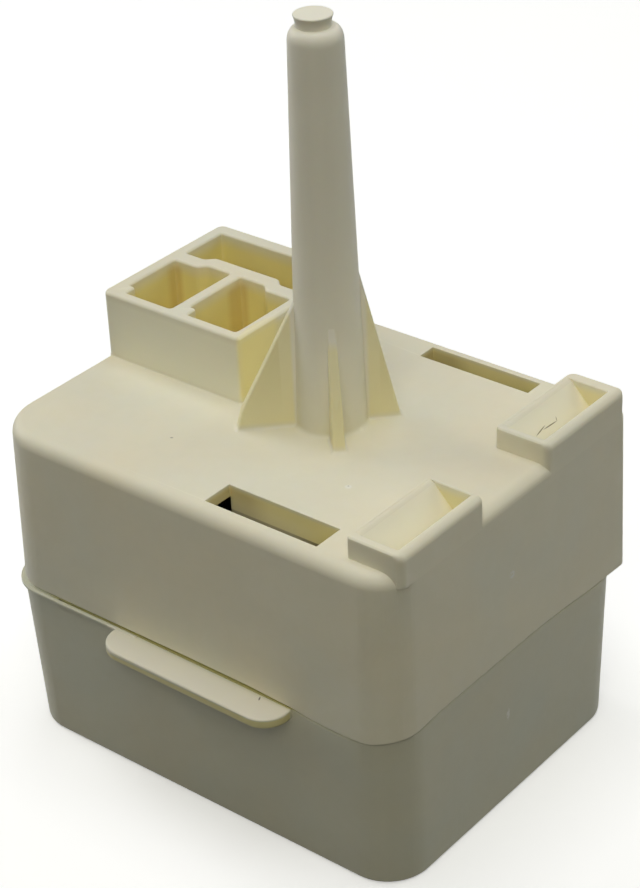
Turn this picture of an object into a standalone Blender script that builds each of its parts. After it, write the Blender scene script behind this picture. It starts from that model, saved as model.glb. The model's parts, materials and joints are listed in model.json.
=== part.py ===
"""Compressor start relay.

A two-part moulded housing with a tall ribbed post and a three-pocket terminal block on its cover, and inside it the
overload protector, the start pill, the three pin sockets, the tab terminals and the links that join them.

Lengths are in metres. X runs along the housing, Y from the tab side to the terminal side and Z up. The origin is the
middle of the outer box's underside.
"""
import math

import bmesh
import bpy
from mathutils import Matrix, Vector

# Clearances and how pieces of one moulding meet
SEAT_GAP = 0.0003
SINK = 0.0006
FLUSH_STEP = 0.00005
CUT_PAST = 0.001

# Smoothness of round forms
CORNER_STEPS = 7
EDGE_STEPS = 3
SMALL_STEPS = 2
RIM_STEPS = 4
TAB_STEPS = 5
BEND_STEPS = 5
SHOULDER_STEPS = 4
POST_STEPS = 32
ROUND_STEPS = 24
HOLE_STEPS = 16
BLADE_HOLE_STEPS = 12
WIRE_STEPS = 14
SMOOTH_ANGLE = 30
LEAST_MITRE = 0.3

# Housing walls and heights
BASE_HEIGHT = 0.0184
COVER_HEIGHT = 0.01845
BASE_WALL = 0.0024
BASE_FLOOR = 0.0018
COVER_WALL = 0.0016
COVER_ROOF = 0.0014
BASE_INSET = 0.0001
LIP_HEIGHT = 0.0020
REBATE_WALL = 0.0010

# How far each side leans in for each metre of height, down the base and up the cover
BASE_LEAN_LEFT = 0.032
BASE_LEAN_RIGHT = 0.019
BASE_LEAN_FRONT = 0.033
BASE_LEAN_BACK = 0.024
COVER_LEAN_LEFT = 0.014
COVER_LEAN_RIGHT = 0.014
COVER_LEAN_FRONT = 0.020
COVER_LEAN_BACK = 0.019

# Upright corners and soft edges
BASE_CORNER = 0.0050
COVER_CORNER_FRONT_LEFT = 0.0056
COVER_CORNER_FRONT_RIGHT = 0.0042
COVER_CORNER_BACK_RIGHT = 0.0011
COVER_CORNER_BACK_LEFT = 0.0030
LEAST_CORNER = 0.0004
ROOF_FILLET = 0.0009
UNDERSIDE_FILLET = 0.0004

# Round wells for the overload protector and the start pill, either side of the pins
WELL_RADIUS = 0.0072
WELL_CLEARANCE = 0.0004
WELL_OFFSET = 0.01531
WELL_FORWARD = 0.0080
BACK_ROOM = 0.0192

# Pull tab and ledge on the base's front
TAB_REACH = 0.00339
TAB_LENGTH = 0.0231
TAB_THICKNESS = 0.0011
TAB_BELOW_RIM = 0.00025
TAB_END_RADIUS = 0.0028
TAB_OFFSET = 0.0019
LEDGE_REACH = 0.0004
LEDGE_HEIGHT = 0.0007

# Terminal block with its three pockets
BLOCK_HEIGHT = 0.00764
BLOCK_FROM_BACK = 0.0032
BLOCK_LEFT_WALL = 0.0015
BLOCK_RIGHT_WALL = 0.00115
BLOCK_MIDDLE_WALL = 0.00135
BLOCK_FRONT_WALL = 0.0012
BLOCK_BACK_WALL = 0.0018
BLOCK_CROSS_WALL = 0.0019
BLOCK_SOFT_EDGE = 0.0005
LEFT_POCKET_WIDTH = 0.0072
RIGHT_POCKET_WIDTH = 0.0076
FRONT_POCKET_DEPTH = 0.00874
BACK_POCKET_DEPTH = 0.00545
POCKET_KEY = 0.0009
POCKET_KEY_DEPTH = 0.0015
POCKET_STEP = 0.0009
POCKET_FLOOR = 0.0020
POCKET_FLOOR_BELOW_ROOF = 0.00095

# Tab slots in the roof
SLOT_LENGTH = 0.0138
FRONT_SLOT_WIDTH = 0.0036
BACK_SLOT_WIDTH = 0.0023
FRONT_SLOT_FROM_FACE = 0.00175
BACK_SLOT_FROM_FACE = 0.00127
SLOT_FROM_RIGHT = 0.0098
SLOT_UNDERCUT = 0.0034
SLEEVE_WALL = 0.0010
SLEEVE_DEPTH = 0.0062

# Ramped pockets with raised rims
RIM_HEIGHT = 0.00234
RIM_OUTER_WALL = 0.0011
RIM_INNER_WALL = 0.0003
RIM_END_WALL = 0.0008
RIM_ROUND_CORNER = 0.0012
RIM_SHARP_CORNER = 0.0004
RIM_SOFT_EDGE = 0.0003
RAMP_OPENING = 0.0049
RAMP_POCKET_LENGTH = 0.0112
RAMP_BEND = 0.0019
RAMP_ANGLE = 56.0
RAMP_SLIT = 0.0005
FRONT_RIM_FROM_FACE = 0.0028
BACK_RIM_FROM_FACE = 0.0024

# Post and its four ribs
POST_X = 0.00271
POST_Y = 0.00242
POST_HEIGHT = 0.0436
POST_FOOT_RADIUS = 0.00365
POST_TOP_RADIUS = 0.00270
SHOULDER_RADIUS = 0.0009
NECK_RADIUS = 0.00172
NECK_HEIGHT = 0.00065
BUTTON_RADIUS = 0.00192
BUTTON_EDGE = 0.00012
BUTTON_HEIGHT = 0.0006
CORE_FOOT_RADIUS = 0.0022
CORE_TOP_RADIUS = 0.0012
CORE_HEIGHT = 0.0360
RIB_TURN = 45
RIB_THICKNESS = 0.00105
RIB_FOOT_THICKNESS = 0.0015
RIB_END_LEAN = 0.26
LONG_RIB_REACH = 0.0097
LONG_RIB_END = 0.0021
LONG_RIB_HEIGHT = 0.0138
RIGHT_RIB_REACH = 0.00707
RIGHT_RIB_HEIGHT = 0.0165
SHORT_RIB_REACH = 0.0067
SHORT_RIB_END = 0.0021
SHORT_RIB_HEIGHT = 0.0122

# Compressor pins and the sockets that grip them
PIN_SPREAD = 0.0060
PIN_BACK = 0.0046
PIN_FRONT = 0.0058
PIN_HOLE_RADIUS = 0.00195
PIN_FUNNEL_RADIUS = 0.0028
PIN_FUNNEL_DEPTH = 0.0008
SOCKET_RADIUS = 0.0022
SOCKET_WALL = 0.0006
SOCKET_SPLIT = 0.0006
SLEEVE_TUBE_WALL = 0.0011

# Levels of the connectors
SUPPORT_TOP = 0.0120
SHELF_THICKNESS = 0.0024
STRIP_THICKNESS = 0.0008

# Overload protector
CUP_WALL = 0.0006
CUP_HEIGHT = 0.0056
CUP_SEAT_HEIGHT = 0.0022
CUP_SEAT_WALL = 0.0008
CAP_THICKNESS = 0.0013
CAP_SPIGOT = 0.0010
DISC_RADIUS = 0.0049
DISC_THICKNESS = 0.0004
DISC_RISE = 0.0004
DISC_HALFWAY_RISE = 0.0003
STUD_SPREAD = 0.00364
STUD_BACK = 0.0021
STUD_RADIUS = 0.0009
STUD_HEAD_RADIUS = 0.0015
STUD_HEAD_HEIGHT = 0.0006
SCREW_RADIUS = 0.0008
SCREW_HEAD_RADIUS = 0.0016
SCREW_HEAD_HEIGHT = 0.0009
SCREW_SLOT = 0.0005
HEATER_WIRE = 0.0003
HEATER_RADIUS = 0.0037
HEATER_TURN = 270.0

# Start pill and its contacts
PILL_RADIUS = 0.0054
PILL_THICKNESS = 0.0030
PILL_WELL_WALL = 0.0007
PILL_WELL_HEIGHT = 0.0092
CONTACT_THICKNESS = 0.0005
CONTACT_RADIUS = 0.0059
RISER_WIDTH = 0.0030
RISER_THICKNESS = 0.00035
SPRING_THICKNESS = 0.0004
SPRING_WIDTH = 0.0040
SPRING_REACH = 0.0038
SPRING_BEND = 0.0048

# Tab terminals
BLADE_WIDTH = 0.0063
BLADE_THICKNESS = 0.0008
BLADE_CHAMFER = 0.0012
BLADE_HOLE_RADIUS = 0.0008
BLADE_HOLE_FROM_TIP = 0.0042
BLADE_BELOW_BLOCK = 0.0053
BLADE_BELOW_ROOF = 0.0040
FOOT_LENGTH = 0.0028

# Flat links
LINK_WIDTH = 0.0021
PIN_LINK_WIDTH = 0.0030

# Heights worked out from the sizes above
PARTING = BASE_HEIGHT + SEAT_GAP
ROOF_TOP = PARTING + COVER_HEIGHT
ROOF_UNDER = ROOF_TOP - COVER_ROOF
BLOCK_TOP = ROOF_TOP + BLOCK_HEIGHT
RIM_TOP = ROOF_TOP + RIM_HEIGHT
POCKET_BOTTOM = ROOF_TOP - POCKET_FLOOR_BELOW_ROOF
FOOT_LOW = SUPPORT_TOP + SEAT_GAP
FOOT_TOP = FOOT_LOW + STRIP_THICKNESS
LINK_LOW = FOOT_TOP + SEAT_GAP
LINK_TOP = LINK_LOW + STRIP_THICKNESS
SOCKET_LOW = BASE_FLOOR + SEAT_GAP

# Outline of the cover at the parting line, with the wells, walls and tab inside the outer box
WALL_STACK = WELL_CLEARANCE + BASE_WALL + BASE_INSET
LEFT_REACH = WELL_OFFSET + WELL_RADIUS + WALL_STACK + BASE_LEAN_LEFT * BASE_HEIGHT
RIGHT_REACH = LEFT_REACH
FRONT_REACH = WELL_FORWARD + WELL_RADIUS + WALL_STACK + BASE_LEAN_FRONT * BASE_HEIGHT
BACK_REACH = BACK_ROOM + BASE_WALL + BASE_INSET + BASE_LEAN_BACK * BASE_HEIGHT
PIN_MIDDLE_Y = (FRONT_REACH + TAB_REACH - BACK_REACH) / 2
COVER_LEFT = -LEFT_REACH
COVER_RIGHT = RIGHT_REACH
COVER_FRONT = PIN_MIDDLE_Y - FRONT_REACH
COVER_BACK = PIN_MIDDLE_Y + BACK_REACH

# Places of the wells and pins
OVERLOAD_PLACE = (-WELL_OFFSET, PIN_MIDDLE_Y - WELL_FORWARD)
PILL_PLACE = (WELL_OFFSET, PIN_MIDDLE_Y - WELL_FORWARD)
PIN_PLACES = {
    "common": (0.0, PIN_MIDDLE_Y - PIN_FRONT),
    "run": (-PIN_SPREAD, PIN_MIDDLE_Y + PIN_BACK),
    "start": (PIN_SPREAD, PIN_MIDDLE_Y + PIN_BACK),
}


def clear_scene():
    """Remove every object of the open file."""
    for item in list(bpy.data.objects):
        bpy.data.objects.remove(item, do_unlink=True)


def new_collection(name):
    """Make a collection in the scene."""
    group = bpy.data.collections.new(name)
    bpy.context.scene.collection.children.link(group)
    return group


def surface(name, colour, roughness, metallic=0.0):
    """Principled material of one colour."""
    made = bpy.data.materials.new(name)
    made.use_nodes = True
    shader = made.node_tree.nodes["Principled BSDF"]
    shader.inputs["Base Color"].default_value = (*colour, 1.0)
    shader.inputs["Roughness"].default_value = roughness
    shader.inputs["Metallic"].default_value = metallic
    made.diffuse_color = (*colour, 1.0)
    return made


def add_mesh(name, form):
    """Turn a bmesh into an object that no collection holds yet."""
    mesh = bpy.data.meshes.new(name)
    form.to_mesh(mesh)
    form.free()
    return bpy.data.objects.new(name, mesh)


def keep(piece, material):
    """Put a finished piece in the relay's collection with its own material, its gentle curves shaded smooth."""
    piece.data.materials.append(material)
    if piece.data.polygons:
        piece.data.shade_smooth()
        piece.data.set_sharp_from_angle(angle=math.radians(SMOOTH_ANGLE))
    PARTS.objects.link(piece)
    return piece


def tool(piece):
    """Put a shape that only cuts or joins another in the cutters' collection."""
    CUTTERS.objects.link(piece)
    piece.hide_render = True
    piece.display_type = "WIRE"
    return piece


def combine(piece, other, operation):
    """Cut or join one shape with another."""
    step = piece.modifiers.new(other.name, "BOOLEAN")
    step.operation = operation
    step.object = tool(other)
    step.solver = "EXACT"


def join(piece, *others):
    """Join other shapes to one."""
    for other in others:
        combine(piece, other, "UNION")


def cut(piece, *others):
    """Cut other shapes out of one."""
    for other in others:
        combine(piece, other, "DIFFERENCE")


def box(name, left, right, front, back, low, high):
    """Plain box between six planes."""
    form = bmesh.new()
    bmesh.ops.create_cube(form, size=1.0)
    middle = Vector(((left + right) / 2, (front + back) / 2, (low + high) / 2))
    bmesh.ops.scale(form, vec=(right - left, back - front, high - low), verts=form.verts)
    bmesh.ops.translate(form, vec=middle, verts=form.verts)
    return add_mesh(name, form)


def round_corner(form, place, radius, steps):
    """Round the upright edge that stands nearest a place."""
    def distance(edge):
        middle = (edge.verts[0].co + edge.verts[1].co) / 2
        return (middle.xy - Vector(place)).length

    tall = [edge for edge in form.edges if abs((edge.verts[0].co - edge.verts[1].co).z) > LEAST_CORNER]
    nearest = min(tall, key=distance)
    bmesh.ops.bevel(form, geom=[nearest], offset=radius, segments=steps, profile=0.5, affect="EDGES")


def round_ring(form, level, radius, steps):
    """Round the edges of the flat face that lies at a level."""
    flat = [face for face in form.faces if all(abs(v.co.z - level) < FLUSH_STEP / 5 for v in face.verts)]
    ring = {edge for face in flat for edge in face.edges}
    bmesh.ops.bevel(form, geom=list(ring), offset=radius, segments=steps, profile=0.5, affect="EDGES")


def leaning_box(name, low, high, lower, upper, corners, steps=CORNER_STEPS, top_edge=0.0, bottom_edge=0.0):
    """Box whose sides lean from a lower to an upper rectangle, with round upright corners.

    A rectangle is (left, right, front, back). Corners run front left, front right, back right, back left.
    """
    form = bmesh.new()
    bmesh.ops.create_cube(form, size=1.0)
    for vertex in form.verts:
        left, right, front, back = upper if vertex.co.z > 0 else lower
        x = left if vertex.co.x < 0 else right
        y = front if vertex.co.y < 0 else back
        vertex.co = (x, y, high if vertex.co.z > 0 else low)
    left, right, front, back = [(a + b) / 2 for a, b in zip(lower, upper)]
    places = [(left, front), (right, front), (right, back), (left, back)]
    for place, radius in zip(places, corners):
        if radius > 0:
            round_corner(form, place, radius, steps)
    if top_edge > 0:
        round_ring(form, high, top_edge, EDGE_STEPS)
    if bottom_edge > 0:
        round_ring(form, low, bottom_edge, SMALL_STEPS)
    return add_mesh(name, form)


def cylinder(name, place, radius, low, high, top_radius=None, steps=ROUND_STEPS):
    """Upright cylinder or cone."""
    form = bmesh.new()
    top = radius if top_radius is None else top_radius
    bmesh.ops.create_cone(form, cap_ends=True, segments=steps, radius1=radius, radius2=top, depth=high - low)
    bmesh.ops.translate(form, vec=(place[0], place[1], (low + high) / 2), verts=form.verts)
    return add_mesh(name, form)


def turned(name, place, profile, steps=ROUND_STEPS, closed=False):
    """Turn a profile of (radius, height) points, listed down its outer side, about an upright axis."""
    mesh = bpy.data.meshes.new(name)
    count = len(profile)
    edges = [(i, i + 1) for i in range(count - 1)]
    if closed:
        edges.append((count - 1, 0))
    mesh.from_pydata([(radius, 0.0, height) for radius, height in profile], edges, [])
    piece = bpy.data.objects.new(name, mesh)
    piece.location = (place[0], place[1], 0.0)
    spin = piece.modifiers.new("Turn", "SCREW")
    spin.axis = "Z"
    spin.steps = steps
    spin.render_steps = steps
    spin.use_merge_vertices = True
    spin.merge_threshold = 0.00001
    return piece


def ring(name, place, outer, inner, low, high, steps=ROUND_STEPS):
    """Upright tube."""
    return turned(name, place, [(outer, high), (outer, low), (inner, low), (inner, high)], steps, closed=True)


def curve_to_mesh(name, curve):
    """Mesh object with the shape of a curve, its caps welded on."""
    drawn = bpy.data.objects.new(name + "_curve", curve)
    bpy.context.scene.collection.objects.link(drawn)
    view = bpy.context.evaluated_depsgraph_get()
    mesh = bpy.data.meshes.new_from_object(drawn.evaluated_get(view))
    mesh.name = name
    form = bmesh.new()
    form.from_mesh(mesh)
    bmesh.ops.remove_doubles(form, verts=form.verts, dist=0.000001)
    bmesh.ops.recalc_face_normals(form, faces=form.faces)
    form.to_mesh(mesh)
    form.free()
    bpy.data.objects.remove(drawn, do_unlink=True)
    return bpy.data.objects.new(name, mesh)


def plate(name, outline, low, high):
    """Flat plate with an outline in X and Y, between two heights."""
    curve = bpy.data.curves.new(name, "CURVE")
    curve.dimensions = "2D"
    curve.fill_mode = "BOTH"
    curve.extrude = (high - low) / 2
    line = curve.splines.new("POLY")
    line.points.add(len(outline) - 1)
    for point, (x, y) in zip(line.points, outline):
        point.co = (x, y, 0.0, 1.0)
    line.use_cyclic_u = True
    made = curve_to_mesh(name, curve)
    made.data.transform(Matrix.Translation((0.0, 0.0, (low + high) / 2)))
    return made


def upright(place, turn):
    """Movement that stands a flat plate on edge, turns it about an upright axis and puts it in place."""
    stand = Matrix.Rotation(math.radians(90), 4, "X")
    spin = Matrix.Rotation(math.radians(turn), 4, "Z")
    return Matrix.Translation((place[0], place[1], 0.0)) @ spin @ stand


def upright_plate(name, outline, thickness, place, turn=0.0):
    """Plate standing on edge: its outline runs outward and up."""
    made = plate(name, outline, -thickness / 2, thickness / 2)
    made.data.transform(upright(place, turn))
    return made


def strip_outline(path, thickness):
    """Outline of a bent strip: its centre line moved half its thickness to each side, with mitred bends."""
    points = [Vector(point) for point in path]
    sides = []
    for i, point in enumerate(points):
        before = (point - points[i - 1]).normalized() if i > 0 else None
        after = (points[i + 1] - point).normalized() if i < len(points) - 1 else None
        along = ((before or after) + (after or before)).normalized()
        across = Vector((-along.y, along.x))
        reach = thickness / 2 / max(along.dot(after or before), LEAST_MITRE)
        sides.append((point + across * reach, point - across * reach))
    return [tuple(a) for a, _ in sides] + [tuple(b) for _, b in reversed(sides)]


def base_section(height, inset=0.0):
    """Rectangle of the base's outer faces at a height, drawn in by an inset."""
    drop = BASE_HEIGHT - height
    return (
        COVER_LEFT + BASE_INSET + BASE_LEAN_LEFT * drop + inset,
        COVER_RIGHT - BASE_INSET - BASE_LEAN_RIGHT * drop - inset,
        COVER_FRONT + BASE_INSET + BASE_LEAN_FRONT * drop + inset,
        COVER_BACK - BASE_INSET - BASE_LEAN_BACK * drop - inset,
    )


def cover_section(height, inset=0.0):
    """Rectangle of the cover's outer faces at a height, drawn in by an inset."""
    rise = height - PARTING
    return (
        COVER_LEFT + COVER_LEAN_LEFT * rise + inset,
        COVER_RIGHT - COVER_LEAN_RIGHT * rise - inset,
        COVER_FRONT + COVER_LEAN_FRONT * rise + inset,
        COVER_BACK - COVER_LEAN_BACK * rise - inset,
    )


def cover_corners(inset=0.0):
    """Corner radii of the cover, drawn in by an inset."""
    outer = (
        COVER_CORNER_FRONT_LEFT,
        COVER_CORNER_FRONT_RIGHT,
        COVER_CORNER_BACK_RIGHT,
        COVER_CORNER_BACK_LEFT,
    )
    return [max(radius - inset, LEAST_CORNER) for radius in outer]


ROOF_LEFT, ROOF_RIGHT, ROOF_FRONT, ROOF_BACK = cover_section(ROOF_TOP)

# Terminal block and pockets, from the cover's left and back faces
BLOCK_LEFT = ROOF_LEFT + FLUSH_STEP
LEFT_POCKET_X = BLOCK_LEFT + BLOCK_LEFT_WALL
RIGHT_POCKET_X = LEFT_POCKET_X + LEFT_POCKET_WIDTH + BLOCK_MIDDLE_WALL
BLOCK_RIGHT = RIGHT_POCKET_X + RIGHT_POCKET_WIDTH + BLOCK_RIGHT_WALL
BLOCK_BACK = ROOF_BACK - BLOCK_FROM_BACK
BACK_POCKET_END = BLOCK_BACK - BLOCK_BACK_WALL
BACK_POCKET_Y = BACK_POCKET_END - BACK_POCKET_DEPTH
FRONT_POCKET_END = BACK_POCKET_Y - BLOCK_CROSS_WALL
FRONT_POCKET_Y = FRONT_POCKET_END - FRONT_POCKET_DEPTH
BLOCK_FRONT = FRONT_POCKET_Y - BLOCK_FRONT_WALL

# Tab slots, from the cover's right, front and back faces
SLOT_RIGHT = ROOF_RIGHT - SLOT_FROM_RIGHT
SLOT_LEFT = SLOT_RIGHT - SLOT_LENGTH
FRONT_SLOT_Y = ROOF_FRONT + FRONT_SLOT_FROM_FACE
BACK_SLOT_END = ROOF_BACK - BACK_SLOT_FROM_FACE
SLEEVE_LOW = ROOF_TOP - SLEEVE_DEPTH - SLEEVE_WALL

# Ramped pockets, from the cover's right face
RAMP_RIGHT = ROOF_RIGHT - RIM_OUTER_WALL
RAMP_LEFT = RAMP_RIGHT - RAMP_OPENING
RAMP_SLOPE = math.tan(math.radians(RAMP_ANGLE))
RAMP_BEND_RUN = RAMP_BEND * math.sin(math.radians(RAMP_ANGLE))
RAMP_BEND_DROP = RAMP_BEND * (1 - math.cos(math.radians(RAMP_ANGLE)))
RAMP_FOOT = RIM_TOP - RAMP_BEND_DROP - (RAMP_OPENING - RAMP_SLIT - RAMP_BEND_RUN) * RAMP_SLOPE
RAMP_SLEEVE_LOW = RAMP_FOOT - SLEEVE_WALL * 2
RAMP_FRONTS = (ROOF_FRONT + FRONT_RIM_FROM_FACE, ROOF_BACK - BACK_RIM_FROM_FACE - RAMP_POCKET_LENGTH)

# Blades: each stands on a foot and points up into its pocket or slot
LEFT_BLADE_X = LEFT_POCKET_X + LEFT_POCKET_WIDTH / 2
RIGHT_BLADE_X = RIGHT_POCKET_X + RIGHT_POCKET_WIDTH / 2
FRONT_BLADE_Y = FRONT_POCKET_Y + FRONT_POCKET_DEPTH / 2
BACK_BLADE_Y = BACK_POCKET_Y + BACK_POCKET_DEPTH / 2 + POCKET_STEP / 4
LEFT_SPARE_X = base_section(FOOT_LOW, BASE_WALL)[0] + SEAT_GAP + BLADE_WIDTH / 2
SLOT_BLADE_X = SLOT_LEFT + SLOT_LENGTH / 2
FRONT_SLOT_BLADE_Y = FRONT_SLOT_Y + FRONT_SLOT_WIDTH / 2
BACK_SLOT_BLADE_Y = base_section(FOOT_LOW, BASE_WALL)[3] - SEAT_GAP - BLADE_THICKNESS / 2
BLOCK_BLADE_TIP = BLOCK_TOP - BLADE_BELOW_BLOCK
SLOT_BLADE_TIP = ROOF_TOP - BLADE_BELOW_ROOF

# Each terminal: blade place, which way its foot points in degrees, and the height of its tip
TERMINALS = {
    "terminal_line": (LEFT_BLADE_X, FRONT_BLADE_Y, 0, BLOCK_BLADE_TIP),
    "terminal_run": (RIGHT_BLADE_X, FRONT_BLADE_Y, 0, BLOCK_BLADE_TIP),
    "terminal_line_spare": (LEFT_SPARE_X, BACK_BLADE_Y, 270, BLOCK_BLADE_TIP),
    "terminal_run_spare": (RIGHT_BLADE_X, BACK_BLADE_Y, 270, BLOCK_BLADE_TIP),
    "terminal_capacitor": (SLOT_BLADE_X - LINK_WIDTH, FRONT_SLOT_BLADE_Y, 90, SLOT_BLADE_TIP),
    "terminal_start": (SLOT_BLADE_X, BACK_SLOT_BLADE_Y, 270, SLOT_BLADE_TIP),
}


def foot_box(name, inset=0.0):
    """Rectangle under a terminal's foot, drawn in by an inset: left, right, front, back."""
    x, y, turn, _ = TERMINALS[name]
    near = BLADE_THICKNESS / 2
    far = near + FOOT_LENGTH
    half = BLADE_WIDTH / 2
    if turn == 0:
        rectangle = (x - near, x + far, y - half, y + half)
    elif turn == 90:
        rectangle = (x - half, x + half, y - near, y + far)
    else:
        rectangle = (x - half, x + half, y - far, y + near)
    left, right, front, back = rectangle
    return left + inset, right - inset, front + inset, back - inset


def front_pocket_outline(left, width, key_left):
    """Front pocket: a rectangle with one filled front corner and a step in its back wall."""
    right = left + width
    middle = left + width / 2
    slant = POCKET_STEP / 2
    outline = [
        (left + POCKET_KEY, FRONT_POCKET_Y),
        (right, FRONT_POCKET_Y),
        (right, FRONT_POCKET_END + (POCKET_STEP if key_left else 0.0)),
        (middle + slant, FRONT_POCKET_END + (POCKET_STEP if key_left else 0.0)),
        (middle - slant, FRONT_POCKET_END + (0.0 if key_left else POCKET_STEP)),
        (left, FRONT_POCKET_END + (0.0 if key_left else POCKET_STEP)),
        (left, FRONT_POCKET_Y + POCKET_KEY_DEPTH),
        (left + POCKET_KEY, FRONT_POCKET_Y + POCKET_KEY_DEPTH),
    ]
    return outline


def back_pocket_outline():
    """Back pocket: as wide as both front ones, with a long land along its front wall."""
    left = LEFT_POCKET_X
    right = RIGHT_POCKET_X + RIGHT_POCKET_WIDTH
    land_left = left + LEFT_POCKET_WIDTH / 2
    land_right = right - RIGHT_POCKET_WIDTH / 2
    return [
        (left, BACK_POCKET_Y),
        (land_left - POCKET_STEP, BACK_POCKET_Y),
        (land_left, BACK_POCKET_Y + POCKET_STEP),
        (land_right, BACK_POCKET_Y + POCKET_STEP),
        (land_right + POCKET_STEP, BACK_POCKET_Y),
        (right, BACK_POCKET_Y),
        (right, BACK_POCKET_END),
        (left, BACK_POCKET_END),
    ]


def ramp_outline():
    """Side view of a ramped pocket: a round lip, a slope down to the outer wall and a narrow slit at its foot."""
    above = RIM_TOP + CUT_PAST
    outline = [(RAMP_LEFT, above)]
    for step in range(BEND_STEPS + 1):
        angle = math.radians(RAMP_ANGLE) * step / BEND_STEPS
        run = RAMP_BEND * math.sin(angle)
        drop = RAMP_BEND * (1 - math.cos(angle))
        outline.append((RAMP_LEFT + run, RIM_TOP - drop - FLUSH_STEP))
    outline += [
        (RAMP_RIGHT - RAMP_SLIT, RAMP_FOOT - FLUSH_STEP),
        (RAMP_RIGHT - RAMP_SLIT, RAMP_FOOT - SLEEVE_WALL),
        (RAMP_RIGHT, RAMP_FOOT - SLEEVE_WALL),
        (RAMP_RIGHT, above),
    ]
    return outline


def post_profile():
    """Half outline of the post: button, neck, round shoulder, then a long taper to the foot."""
    top = ROOF_TOP + POST_HEIGHT
    button_low = top - BUTTON_HEIGHT
    neck_low = button_low - NECK_HEIGHT
    profile = [
        (0.0, top),
        (BUTTON_RADIUS - BUTTON_EDGE, top),
        (BUTTON_RADIUS, top - BUTTON_EDGE),
        (BUTTON_RADIUS - BUTTON_EDGE / 2, top - BUTTON_HEIGHT / 2),
        (NECK_RADIUS, button_low),
        (NECK_RADIUS, neck_low),
    ]
    centre_r = POST_TOP_RADIUS - SHOULDER_RADIUS
    centre_z = neck_low - SHOULDER_RADIUS
    for step in range(SHOULDER_STEPS + 1):
        angle = math.radians(90) * (1 - step / SHOULDER_STEPS)
        out = SHOULDER_RADIUS * math.cos(angle)
        rise = SHOULDER_RADIUS * math.sin(angle)
        profile.append((centre_r + out, centre_z + rise))
    profile.append((POST_FOOT_RADIUS, ROOF_TOP))
    profile.append((POST_FOOT_RADIUS, ROOF_TOP - SINK))
    profile.append((0.0, ROOF_TOP - SINK))
    return profile


def rib(name, turn, reach, end, height):
    """Rib of the post: a sloping plate from its side down to the roof, thicker at its foot."""
    foot = ROOF_TOP - SINK
    inside = POST_TOP_RADIUS / 2
    slope = POST_FOOT_RADIUS - POST_TOP_RADIUS
    skin = POST_FOOT_RADIUS - slope * height / POST_HEIGHT
    outline = [
        (inside, foot),
        (reach, foot),
        (reach - RIB_END_LEAN * end, ROOF_TOP + end),
        (skin, ROOF_TOP + height),
        (inside, ROOF_TOP + height),
    ]
    made = plate(name, outline, -RIB_THICKNESS / 2, RIB_THICKNESS / 2)
    for vertex in made.data.vertices:
        share = (vertex.co.y - foot) / (ROOF_TOP + height - foot)
        vertex.co.z *= 1 + (RIB_FOOT_THICKNESS / RIB_THICKNESS - 1) * (1 - share)
    made.data.transform(upright((POST_X, POST_Y), turn))
    return made


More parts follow.
